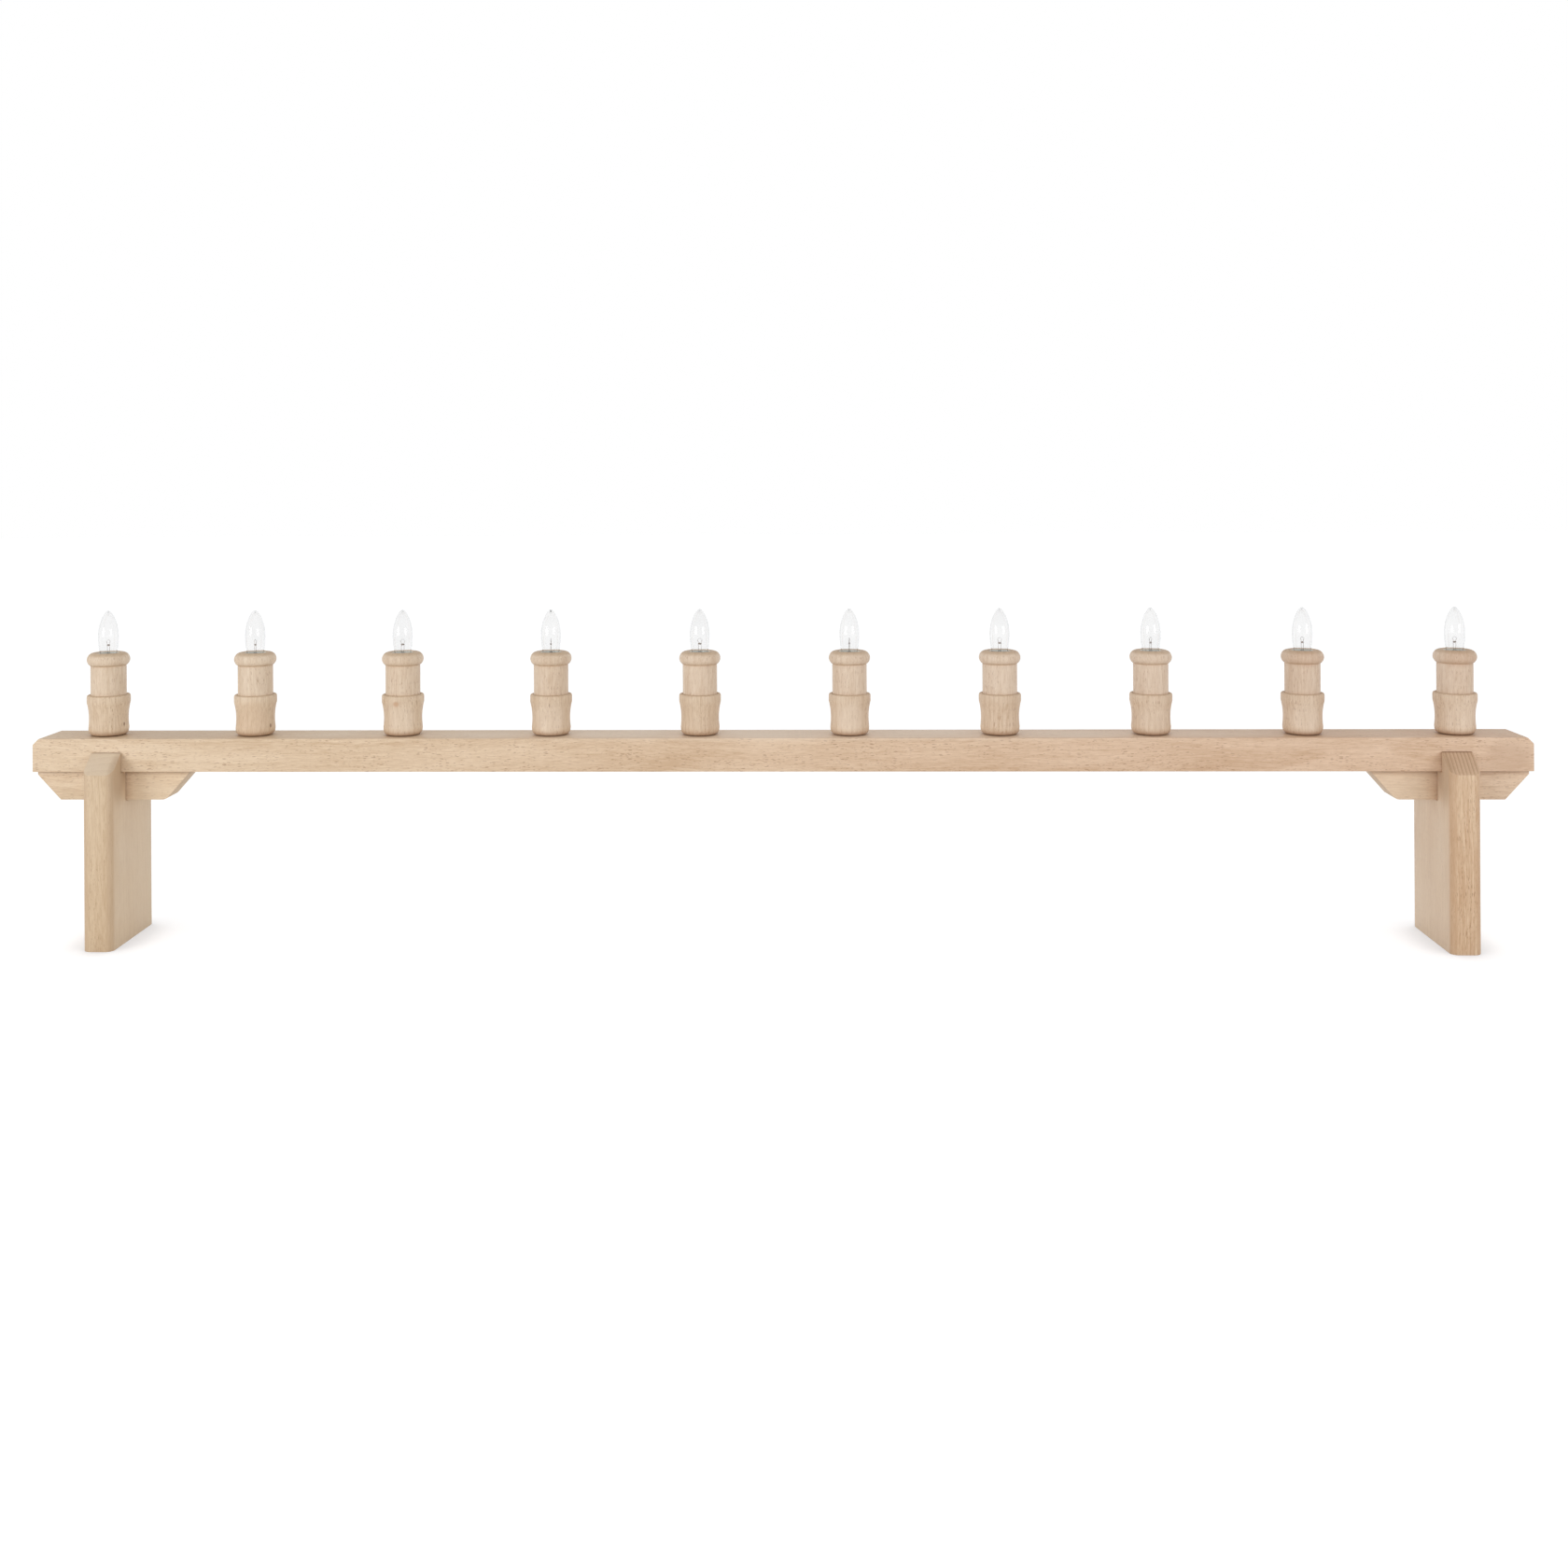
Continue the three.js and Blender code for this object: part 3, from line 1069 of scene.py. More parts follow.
@dataclass(frozen=True)
class Metal:
    """Finish of plated or drawn metal.

    Attributes:
        name: name of the finish.
        colour: clean metal.
        tarnish: metal in its dull patches.
        roughness: mean roughness.
    """

    name: str
    colour: Colour
    tarnish: Colour
    roughness: float = 0.3

    def material(self) -> bpy.types.Material:
        """Make the material.

        Returns:
            The metal material.
        """
        material, sheet, shader = new_material(self.name)
        marks = sheet.add("ShaderNodeGroup", node_tree=GROUPS.marks)
        marks.inputs["Scale"].default_value = 260.0
        edges = sheet.add("ShaderNodeGroup", node_tree=GROUPS.edges)
        dull = sheet.maths("MULTIPLY", marks.outputs["Smudge"], 0.7)
        colour = sheet.mix(dull, self.colour, self.tarnish)
        bright = sheet.maths("MULTIPLY", edges.outputs["Mask"], 0.4)
        colour = sheet.mix(bright, colour, screen(235, 230, 222))
        sheet.feed(shader.inputs["Base Color"], colour)
        rough = sheet.maths("MULTIPLY", marks.outputs["Smudge"], 0.18)
        rough = sheet.maths("ADD", rough, self.roughness)
        sheet.feed(shader.inputs["Roughness"], rough)
        bump = sheet.add("ShaderNodeBump")
        bump.inputs["Strength"].default_value = 0.1
        bump.inputs["Distance"].default_value = 0.05 * MM
        sheet.feed(bump.inputs["Height"], marks.outputs["Speck"])
        sheet.feed(shader.inputs["Normal"], bump.outputs[0])
        shader.inputs["Metallic"].default_value = 1.0
        return material


@dataclass(frozen=True)
class Plastic:
    """Finish of moulded plastic.

    Attributes:
        name: name of the finish.
        colour: its colour.
        roughness: mean roughness.
    """

    name: str
    colour: Colour
    roughness: float = 0.42

    def material(self) -> bpy.types.Material:
        """Make the material.

        Returns:
            The plastic material.
        """
        material, sheet, shader = new_material(self.name)
        marks = sheet.add("ShaderNodeGroup", node_tree=GROUPS.marks)
        marks.inputs["Scale"].default_value = 120.0
        shade = sheet.maths("MULTIPLY", marks.outputs["Smudge"], 0.12)
        colour = sheet.mix(shade, self.colour, screen(150, 145, 135))
        sheet.feed(shader.inputs["Base Color"], colour)
        rough = sheet.maths("MULTIPLY", marks.outputs["Smudge"], 0.12)
        rough = sheet.maths("ADD", rough, self.roughness)
        sheet.feed(shader.inputs["Roughness"], rough)
        bump = sheet.add("ShaderNodeBump")
        bump.inputs["Strength"].default_value = 0.08
        bump.inputs["Distance"].default_value = 0.05 * MM
        sheet.feed(bump.inputs["Height"], marks.outputs["Speck"])
        sheet.feed(shader.inputs["Normal"], bump.outputs[0])
        return material


def dress(piece: Piece, material: bpy.types.Material) -> None:
    """Give a piece one material all over."""
    piece.data.materials.clear()
    piece.data.materials.append(material)


def stand_for(piece: Piece, body: str, slot: str, *nodes: str) -> None:
    """Hang a finished piece on its body and report it.

    Args:
        piece: the finished piece.
        body: the body that it moves with.
        slot: not used.
        nodes: the solids that it stands for.
    """
    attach(piece, body)
    if nodes:
        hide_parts(*nodes)
    log.info("%s rides %s, %d faces", piece.name, body, len(piece.data.polygons))


# Sub-assemblies


@dataclass
class Studio:
    """Camera, floor and light.

    Attributes:
        eye: where the camera stands, in metres.
        lens: focal length in millimetres.
        sensor: width of the film in millimetres.
        yaw: turn to the left, in radians.
        roll: turn about the view, in radians.
        shift: shift of the film, in film widths.
        horizon: strength of the plain light from the sides.
        zenith: strength of the plain light from above.
        lamp_place: place of the right lamp, in metres; the left one mirrors it.
        lamp_powers: power of the left and the right lamp in watts.
        lamp_size: width and height of each lamp in metres.
        aim: the point that both lamps face.
        sky_band: how high a direction points where the sky starts and ends to dim.
        floor_half: half the floor's width in metres.
        floor_grey: the floor as the object's light meets it.
        floor_tint: the floor as the lens sees it, against the wood's warm glow.
        floor_lift: light that the lens sees on top, so that the open floor is white.
        contact_reach: how far the dark line round a foot reaches, in metres.
        contact_shade: how dark the floor is right beside a foot.
    """

    eye: tuple[float, float, float] = (0.02427, -1.15405, 0.32181)
    lens: float = 39.64
    sensor: float = 36.0
    yaw: float = 0.02708
    roll: float = 0.00541
    shift: tuple[float, float] = (0.0134, -0.2082)
    horizon: float = 0.95
    zenith: float = 0.5
    lamp_place: tuple[float, float, float] = (2.1, -2.2, 0.45)
    lamp_powers: tuple[float, float] = (22.0, 14.0)
    lamp_size: tuple[float, float] = (1.4, 1.0)
    aim: tuple[float, float, float] = (0.0, 0.0, 0.12)
    sky_band: tuple[float, float] = (0.1, 0.8)
    floor_half: float = 6.0
    floor_grey: Colour = (0.86, 0.86, 0.86, 1.0)
    floor_tint: Colour = (0.92, 0.8, 0.7, 1.0)
    floor_lift: Colour = (0.48, 0.56, 0.63, 1.0)
    contact_reach: float = 0.03
    contact_shade: float = 0.76

    def set_camera(self) -> None:
        """Stand the camera where the photograph was taken from."""
        data = bpy.data.cameras.new("camera")
        data.lens = self.lens
        data.sensor_width = self.sensor
        data.sensor_fit = "HORIZONTAL"
        data.shift_x, data.shift_y = self.shift
        camera = bpy.data.objects.new("camera", data)
        camera.location = self.eye
        camera.rotation_euler = (math.pi / 2, self.roll, self.yaw)
        bpy.context.scene.collection.objects.link(camera)
        bpy.context.scene.camera = camera

    def white_for_lens(self, sheet: Sheet) -> Socket:
        """Share of a ray that sees the white surroundings.

        Args:
            sheet: the node sheet to work on.

        Returns:
            1 for camera, glossy and transmission rays, 0 for the rest.
        """
        path = sheet.add("ShaderNodeLightPath")
        seen = sheet.maths(
            "MAXIMUM",
            path.outputs["Is Camera Ray"],
            path.outputs["Is Glossy Ray"],
        )
        return sheet.maths("MAXIMUM", seen, path.outputs["Is Transmission Ray"])

    def light(self) -> None:
        """Plain light from all round, less from above, and two wide soft lamps."""
        world = bpy.data.worlds.new("studio")
        bpy.context.scene.world = world
        world.use_nodes = True
        sheet = Sheet(world.node_tree)
        background = world.node_tree.nodes["Background"]
        background.inputs["Color"].default_value = WHITE
        way = sheet.add("ShaderNodeSeparateXYZ")
        sheet.feed(way.inputs[0], sheet.add("ShaderNodeTexCoord").outputs["Generated"])
        sky = sheet.between(way.outputs[2], *self.sky_band, self.horizon, self.zenith)
        seen = self.white_for_lens(sheet)
        missing = sheet.maths("MULTIPLY", seen, sheet.maths("SUBTRACT", 1.0, sky))
        sheet.feed(background.inputs["Strength"], sheet.maths("ADD", sky, missing))
        for name, side, power in zip(
            ("lamp left", "lamp right"), (-1, 1), self.lamp_powers
        ):
            data = bpy.data.lights.new(name, "AREA")
            data.shape = "RECTANGLE"
            data.size, data.size_y = self.lamp_size
            data.energy = power
            lamp = bpy.data.objects.new(name, data)
            out, back, up = self.lamp_place
            lamp.location = (side * out, back, up)
            beam = Vector(self.aim) - lamp.location
            lamp.rotation_euler = beam.to_track_quat("-Z", "Y").to_euler()
            lamp.visible_transmission = False
            bpy.context.scene.collection.objects.link(lamp)

    def lay_floor(self) -> None:
        """White floor that keeps the object's soft shadow."""
        deselect()
        bpy.ops.mesh.primitive_plane_add(size=2 * self.floor_half)
        floor = bpy.context.object
        floor.name = "floor"
        material, sheet, shader = new_material("white floor")
        shader.inputs["Roughness"].default_value = 1.0
        shader.inputs["Specular IOR Level"].default_value = 0.0
        seen = self.white_for_lens(sheet)
        near = sheet.add("ShaderNodeAmbientOcclusion", samples=16)
        near.inputs["Distance"].default_value = self.contact_reach
        shade = sheet.between(near.outputs["AO"], 0.5, 1.0, self.contact_shade, 1.0)
        # through glass the floor is plain white, from whichever side it is seen
        path = sheet.add("ShaderNodeLightPath")
        through = path.outputs["Is Transmission Ray"]
        lift = sheet.mix(through, self.floor_lift, WHITE)
        sheet.feed(shader.inputs["Emission Color"], lift)
        tint = sheet.mix(seen, self.floor_grey, self.floor_tint)
        tint = sheet.mix(through, tint, BLACK)
        dark = sheet.add("ShaderNodeVectorMath", operation="SCALE")
        sheet.feed(dark.inputs[0], tint)
        sheet.feed(dark.inputs["Scale"], shade)
        sheet.feed(shader.inputs["Base Color"], dark.outputs[0])
        glow = sheet.maths("MULTIPLY", seen, shade)
        sheet.feed(shader.inputs["Emission Strength"], glow)
        dress(floor, material)

    def build(self) -> None:
        """Set the camera, the light and the floor."""
        view = bpy.context.scene.view_settings
        view.view_transform = "Standard"
        self.set_camera()
        self.light()
        self.lay_floor()
        log.info("studio set")


@dataclass
class Beam:
    """Bar with its sockets, its wiring groove and the strip that closes it.

    Its sizes are in millimetres.
    """

    end_chamfer: float = 4.0
    broken_edge: float = 0.3
    groove_width: float = 10.0
    groove_depth: float = 10.0
    groove_past_candle: float = 7.0
    socket_radius: float = 6.7
    socket_depth: float = 8.2
    wire_hole_radius: float = 3.0
    seat_gap: float = 0.2
    wood: Beech = Beech(
        "bar beech",
        Grain.ALONG_BAR,
        light=screen(239, 218, 191),
        dark=screen(216, 189, 157),
        pith=(0.31, 0.075, -0.126),
        ring_width=0.0042,
        ring_strength=0.4,
        fleck_strength=0.5,
        streak_strength=0.45,
        near_tint=screen(248, 244, 239),
        far_tint=screen(245, 233, 229),
        spots_and_painted_shade=(
            # the top is paler along its middle and duller at the left
            SpotAndPaintedShade((0.03, 0, 0.137), (430, 27, 4), screen(253, 236, 216), 0.42),
            SpotAndPaintedShade((-0.4, 0, 0.137), (90, 27, 3), screen(200, 172, 144), 0.3),
            # painted shade: the right end is darker
            SpotAndPaintedShade((0.478, -0.018, 0.124), (22, 30, 16), screen(196, 162, 134), 0.5),
        ),
    )

    def drill(self, name: str, radius: float, low: float, high: float) -> Piece:
        """Round cutter on the upright axis, heights in metres."""
        profile = Profile(0, low / MM).line(radius, low / MM)
        profile.line(radius, high / MM).line(0, high / MM)
        return turned(name, profile, 48)

    def bar(self, candles: list[Vector]) -> Piece:
        """Sawn bar with chamfered ends, a groove below and a socket for each candle.

        Args:
            candles: the place of each candle on the bar's top.

        Returns:
            The finished bar.
        """
        low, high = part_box("bar")
        bar = block("beech_bar", low, high)
        top, end = high.z, high.x

        def end_top(a: Vector, b: Vector) -> bool:
            """Both ends of the edge lie on the top and on the same end of the bar."""
            corners = all(top - p.z < NEAR and end - abs(p.x) < NEAR for p in (a, b))
            return corners and a.x * b.x > 0

        round_edges(bar, end_top, self.end_chamfer * MM, 1)
        soften(bar, self.broken_edge * MM, 3)

        reach = candles[-1].x + self.groove_past_candle * MM
        half = self.groove_width / 2 * MM
        below = low.z - 1 * MM
        groove = block(
            "groove",
            Vector((-reach, -half, below)),
            Vector((reach, half, low.z + self.groove_depth * MM)),
        )
        cover_low, cover_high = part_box("groove_cover")
        gap = Vector((1, 1, 0)) * self.seat_gap * MM
        recess = block(
            "recess",
            Vector((cover_low.x, cover_low.y, below)) - gap,
            cover_high + gap + Vector((0, 0, self.seat_gap * MM)),
        )
        cut_out(bar, [groove, recess])
        socket = self.drill(
            "socket",
            self.socket_radius,
            top - self.socket_depth * MM,
            top + 1 * MM,
        )
        hole = self.drill(
            "wire_hole",
            self.wire_hole_radius,
            low.z + (self.groove_depth - 1) * MM,
            top - (self.socket_depth - 1) * MM,
        )
        across = Vector((1, 1, 0))
        for seat in candles:
            cut_out(
                bar,
                [
                    copied(socket, "cut_socket", seat * across),
                    copied(hole, "cut_hole", seat * across),
                ],
            )
        for cutter in (socket, hole):
            bpy.data.objects.remove(cutter)
        smooth(bar, 30)
        return bar

    def cover(self) -> Piece:
        """Thin strip that closes the groove.

        Returns:
            The finished strip.
        """
        cover = block("groove_strip", *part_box("groove_cover"))
        soften(cover, self.broken_edge * MM)
        smooth(cover)
        return cover

    def build(self, candles: list[Vector]) -> None:
        """Make and dress the bar and its cover.

        Args:
            candles: the place of each candle on the bar's top.
        """
        bar = self.bar(candles)
        material = self.wood.material()
        dress(bar, material)
        stand_for(bar, STAND, "bar_wood", "bar")
        cover = self.cover()
        dress(cover, material)
        stand_for(cover, STAND, "bar_wood", "groove_cover")


@dataclass
class Legs:
    """The two forked legs, and the brackets between them and the bar.

    Its sizes are in millimetres. A fullness is the profile of a rounded edge, and
    the joints are the open lines that show between two pieces.
    """

    edge_round: float = 4.5
    fork_front: float = 0.5
    slope_rise: float = 12.8
    bracket_outer_run: float = 15.5
    bracket_inner_run: float = 17.5
    bracket_land: float = 3.0
    bracket_round: float = 2.3
    spare_height: float = 3.0
    broken_edge: float = 0.3
    seat_gap: float = 0.2
    bar_joint: float = 0.4
    bracket_joint: float = 0.7
    slot_break: float = 0.9
    slot_overshoot: float = 5.0
    round_steps: int = 8
    front_fullness: float = 0.44
    back_fullness: float = 0.72
    shade_angle: float = 28.0
    left_wood: Beech = Beech(
        "left leg beech",
        Grain.UPRIGHT,
        light=screen(224, 200, 170),
        dark=screen(204, 175, 143),
        pith=(0.11, 0.15, -0.424),
        ring_width=0.0046,
        ring_strength=0.2,
        fleck_strength=0.3,
        far_tint=screen(255, 255, 255),
        corner_tone=0.5,
        end=screen(229, 210, 188),
        end_rings=0.08,
        # paler broad faces: painted light
        broad=screen(229, 206, 179),
        painted_side_light_share=0.6,
        spots_and_painted_shade=(
            # shade where the inner side meets bar and bracket
            SpotAndPaintedShade((-0.434, -0.024, 0.113), (7, 17, 24), screen(172, 140, 108), 0.5),
        ),
        # painted shade along the top of the fork, where it meets the bar
        painted_joint_shades=(PaintedJointShade(0.1266, 0.1282, 0.6),),
    )
    right_wood: Beech = Beech(
        "right leg beech",
        Grain.UPRIGHT,
        light=screen(229, 201, 169),
        dark=screen(202, 165, 130),
        pith=(0.33, 0.01, 0.804),
        ring_width=0.0024,
        ring_strength=0.5,
        fleck_strength=0.5,
        streak_strength=0.55,
        far_tint=screen(255, 255, 255),
        corner_tone=0.45,
        end=screen(203, 170, 140),
        end_rings=0.75,
        # paler broad faces: painted light
        broad=screen(230, 209, 185),
        painted_side_light_share=0.65,
        spots_and_painted_shade=(
            # shade where the inner side meets bar and bracket
            SpotAndPaintedShade((0.434, -0.024, 0.113), (7, 17, 24), screen(172, 140, 108), 0.45),
        ),
        # painted shade along the top of the fork, where it meets the bar
        painted_joint_shades=(PaintedJointShade(0.1266, 0.1282, 0.9),),
    )
    bracket_wood: Beech = Beech(
        "bracket beech",
        Grain.ALONG_BAR,
        light=screen(240, 218, 191),
        dark=screen(216, 188, 157),
        pith=(0.77, 0.12, -0.06),
        ring_width=0.004,
        ring_strength=0.4,
        fleck_strength=0.5,
        far_tint=screen(247, 241, 239),
        spots_and_painted_shade=(
            # paler inner halves
            SpotAndPaintedShade((-0.405, -0.01, 0.104), (48, 40, 40), screen(246, 222, 191), 0.3),
            SpotAndPaintedShade((0.405, -0.01, 0.104), (48, 40, 40), screen(246, 226, 198), 0.35),
            # painted shade on the bracket right beside each leg
            SpotAndPaintedShade((-0.441, -0.01, 0.104), (13, 8, 30), screen(186, 146, 114), 0.45),
            SpotAndPaintedShade((0.441, -0.01, 0.104), (16, 8, 30), screen(186, 146, 114), 0.5),
        ),
        # painted shadow under the bar, darker towards the bracket's top
        painted_joint_shades=(PaintedJointShade(0.1095, 0.1145, 0.5),),
    )

    def leg(self, side: str) -> Piece:
        """One leg: rounded board, sloped fork, stepped slot.

        Args:
            side: left or right.

        Returns:
            The finished leg.
        """
        low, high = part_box("leg_" + side)
        bar_low, bar_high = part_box("bar")
        bracket_low, bracket_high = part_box("bracket_" + side)
        spare = Vector((0, 0, self.spare_height * MM))
        board = block("beech_leg_" + side, low, high + spare)

        def upright(a: Vector, b: Vector) -> bool:
            """The edge stands upright."""
            return (a - b).cross(Vector((0, 0, 1))).length < 1e-6

        def upright_in_front(a: Vector, b: Vector) -> bool:
            """The edge stands upright and faces the viewer."""
            return upright(a, b) and a.y < 0

        def upright_behind(a: Vector, b: Vector) -> bool:
            """The edge stands upright at the back."""
            return upright(a, b) and high.y - a.y < radius / 2

        radius, steps = self.edge_round * MM, self.round_steps
        round_edges(board, upright_in_front, radius, steps, self.front_fullness)
        round_edges(board, upright_behind, radius, steps, self.back_fullness)
        gap = self.seat_gap * MM
        past = self.slot_overshoot * MM
        bar_joint = Vector((past, self.bar_joint * MM, 0))
        bracket_joint = Vector((past, self.bracket_joint * MM, 0))
        lift = Vector((0, 0, 1)) * MM
        bar_slot = block(
            "bar_slot",
            Vector((low.x, bar_low.y, bar_low.z - gap)) - bar_joint,
            Vector((high.x, bar_high.y, high.z)) + bar_joint + spare + lift,
        )
        bracket_slot = block(
            "bracket_slot",
            Vector((low.x, bracket_low.y, bracket_low.z - gap)) - bracket_joint,
            Vector((high.x, bracket_high.y, bar_low.z)) + bracket_joint + lift,
        )
        cut_out(board, [bar_slot, bracket_slot])
        front = bar_low.z + self.fork_front * MM
        run = high.y - (bar_high.y + gap)
        for sign in (-1, 1):
            saw(
                board,
                Vector((0, sign * high.y, front)),
                Vector((0, sign * self.slope_rise * MM, run)),
            )
        wall = bar_high.y + self.bar_joint * MM

        def round_slot(a: Vector, b: Vector) -> bool:
            """The edge borders the slot on a broad face."""
            inside = abs(a.y) < wall + NEAR and abs(b.y) < wall + NEAR
            on_a_face = min(abs(a.x - low.x), abs(a.x - high.x)) < NEAR
            return inside and on_a_face and abs(a.x - b.x) < NEAR

        round_edges(board, round_slot, self.slot_break * MM, 2)
        soften(board, self.broken_edge * MM)
        split_wide_faces(board)
        smooth(board, self.shade_angle)
        return board

    def bracket(self, side: str) -> Piece:
        """One bracket: board with slanted ends.

        Args:
            side: left or right.

        Returns:
            The finished bracket.
        """
        low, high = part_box("bracket_" + side)
        board = block("beech_bracket_" + side, low, high)
        outer, inner = (low.x, high.x) if side == "left" else (high.x, low.x)
        inwards = 1 if side == "left" else -1
        land = high.z - self.bracket_land * MM
        rise = land - low.z
        saw(
            board,
            Vector((outer, 0, land)),
            Vector((-inwards * rise, 0, -self.bracket_outer_run * MM)),
        )
        run = self.bracket_inner_run * MM
        saw(
            board,
            Vector((inner, 0, high.z)),
            Vector((inwards * (high.z - low.z), 0, -run)),
        )
        corner = inner - inwards * run

        def lower_corner(a: Vector, b: Vector) -> bool:
            """The edge runs across the board where the slope meets the bottom."""
            return all(abs(p.x - corner) < NEAR and p.z - low.z < NEAR for p in (a, b))

        round_edges(board, lower_corner, self.bracket_round * MM, self.round_steps)
        soften(board, self.broken_edge * MM)
        split_wide_faces(board)
        smooth(board, self.shade_angle)
        return board

    def build(self) -> None:
        """Make and dress both legs and both brackets."""
        bracket_finish = self.bracket_wood.material()
        for side, wood in (("left", self.left_wood), ("right", self.right_wood)):
            leg = self.leg(side)
            dress(leg, wood.material())
            stand_for(leg, STAND, "leg_wood", "leg_" + side)
            bracket = self.bracket(side)
            dress(bracket, bracket_finish)
            stand_for(bracket, STAND, "bar_wood", "bracket_" + side)


def cup_tone(x: float, colour: Colour, strength: float) -> SpotAndPaintedShade:
    """Tone of the whole cup that stands at a place along the bar."""
    return SpotAndPaintedShade((x, -0.0127, 0.149), (18, 12, 17), colour, strength)


def bead_tone(x: float) -> SpotAndPaintedShade:
    """Darker bead of the holder that stands at a place along the bar."""
    return SpotAndPaintedShade((x, -0.0138, 0.188), (20, 14, 8), screen(186, 142, 108), 0.3)


PALER_WOOD = screen(244, 226, 206)
DARKER_WOOD = screen(206, 170, 134)


@dataclass
class Turnings:
    """Turned cups and the holders that stand in them.

    Its sizes are in millimetres, and heights are above the bar's top.
    """

    segments: int = 64
    cup_height: float = 27.4
    cup_radius: float = 14.0
    widest_height: float = 22.3
    lip_round: float = 1.6
    waist_radius: float = 12.6
    waist_height: float = 11.6
    bulge_radius: float = 13.0
    bulge_height: float = 5.4
    foot_radius: float = 9.8
    spigot_radius: float = 6.5
    spigot_length: float = 8.0
    wire_hole_radius: float = 3.0
    holder_radius: float = 11.5
    holder_depth: float = 7.0
    rim_height: float = 55.7
    bead_section: float = 4.7
    bead_radius: float = 13.8
    mouth_radius: float = 7.5
    quirk: float = 0.25
    seat_gap: float = 0.2
    cup_wood: Beech = Beech(
        "cup beech",
        Grain.UPRIGHT,
        light=screen(229, 207, 182),
        dark=screen(206, 178, 149),
        pith=(0.2, 0.06, 0.55),
        ring_width=0.0032,
        ring_strength=0.3,
        fleck_strength=0.45,
        streak_strength=0.5,
        roughness=0.52,
        spots_and_painted_shade=(
            # one small knot and three specks
            SpotAndPaintedShade(
                (-0.2515, -0.0139, 0.159), (2.9, 3, 2.6), screen(190, 138, 92), 0.7
            ),
            SpotAndPaintedShade((-0.4377, -0.0043, 0.145), (0.6, 1.5, 2), screen(120, 80, 55), 0.8),
            SpotAndPaintedShade((-0.3382, -0.0054, 0.144), (0.6, 1.5, 2), screen(120, 80, 55), 0.8),
            SpotAndPaintedShade((-0.1492, -0.0139, 0.158), (0.6, 1.5, 2), screen(130, 90, 62), 0.7),
            # one cup is cut from darker wood and six from paler
            cup_tone(-0.35, DARKER_WOOD, 0.35),
            cup_tone(-0.25, PALER_WOOD, 0.27),
            cup_tone(-0.15, PALER_WOOD, 0.33),
            cup_tone(0.05, PALER_WOOD, 0.32),
            cup_tone(0.25, PALER_WOOD, 0.2),
            cup_tone(0.35, PALER_WOOD, 0.3),
            cup_tone(0.45, PALER_WOOD, 0.2),
        ),
        # painted shade under the cup's foot, darker towards the bar's top
        painted_joint_shades=(PaintedJointShade(0.143, 0.1375, 0.5),),
    )
    holder_wood: Beech = Beech(
        "holder beech",
        Grain.UPRIGHT,
        light=screen(232, 212, 190),
        dark=screen(212, 186, 160),
        pith=(0.43, 0.09, 0.61),
        ring_width=0.0041,
        ring_strength=0.22,
        fleck_strength=0.35,
        streak_strength=0.45,
        roughness=0.5,
        spots_and_painted_shade=(bead_tone(0.35), bead_tone(0.45)),
    )

    def cup_profile(self) -> Profile:
        """Outline of the cup from its wire hole out, up to its lip and into its bore.

        Returns:
            The closed outline.
        """
        gap, lip = self.seat_gap, self.lip_round
        bore = self.holder_radius + gap
        floor = self.cup_height - self.holder_depth
        outline = Profile(self.wire_hole_radius, -self.spigot_length)
        outline.line(self.spigot_radius - 0.5, -self.spigot_length)
        outline.line(self.spigot_radius, 0.5 - self.spigot_length)
        outline.line(self.spigot_radius, gap)
        outline.line(self.foot_radius - 0.4, gap).line(self.foot_radius, gap + 0.1)
        outline.bend(
            (self.bulge_radius, gap + 0.2), (self.bulge_radius, self.bulge_height), 14
        )
        outline.bend(
            (self.waist_radius, (self.bulge_height + self.waist_height) / 2),
            (self.waist_radius, self.waist_height),
            8,
        )
        outline.bend(
            (self.waist_radius, (self.waist_height + self.widest_height) / 2),
            (self.cup_radius, self.widest_height),
            10,
        )
        outline.line(self.cup_radius, self.cup_height - lip, 2)
        outline.bend(
            (self.cup_radius, self.cup_height),
            (self.cup_radius - lip, self.cup_height),
            6,
        )
        outline.line(bore + self.quirk, self.cup_height)
        outline.line(bore, self.cup_height - self.quirk)
        outline.line(bore, floor + 0.3).line(bore - 0.3, floor)
        outline.line(self.wire_hole_radius, floor)
        outline.line(self.wire_hole_radius, -self.spigot_length)
        return outline

    def holder_profile(self) -> Profile:
        """Outline of the holder from its bore out, up to its bead and into its mouth.

        Returns:
            The closed outline.
        """
        bead_x = self.bead_radius - self.bead_section
        bead_z = self.rim_height - self.bead_section
        side = self.holder_radius - bead_x
        bead_foot = bead_z - math.sqrt(self.bead_section**2 - side**2)
        start = math.atan2(bead_foot - bead_z, side)
        end = math.acos((self.mouth_radius - bead_x) / self.bead_section)
        mouth_z = bead_z + self.bead_section * math.sin(end)
        foot = self.cup_height - self.holder_depth + self.seat_gap
        outline = Profile(self.mouth_radius, foot)
        outline.line(self.holder_radius - 0.4, foot)
        outline.line(self.holder_radius, foot + 0.4)
        outline.line(self.holder_radius, bead_foot - 2 * self.quirk, 6)
        outline.line(self.holder_radius - self.quirk, bead_foot - 0.5 * self.quirk)
        outline.arc((bead_x, bead_z), self.bead_section, start, end, 24)
        outline.bend(
            (self.mouth_radius, mouth_z - 0.2), (self.mouth_radius, mouth_z - 0.9), 3
        )
        outline.line(self.mouth_radius, foot, 4)
        return outline

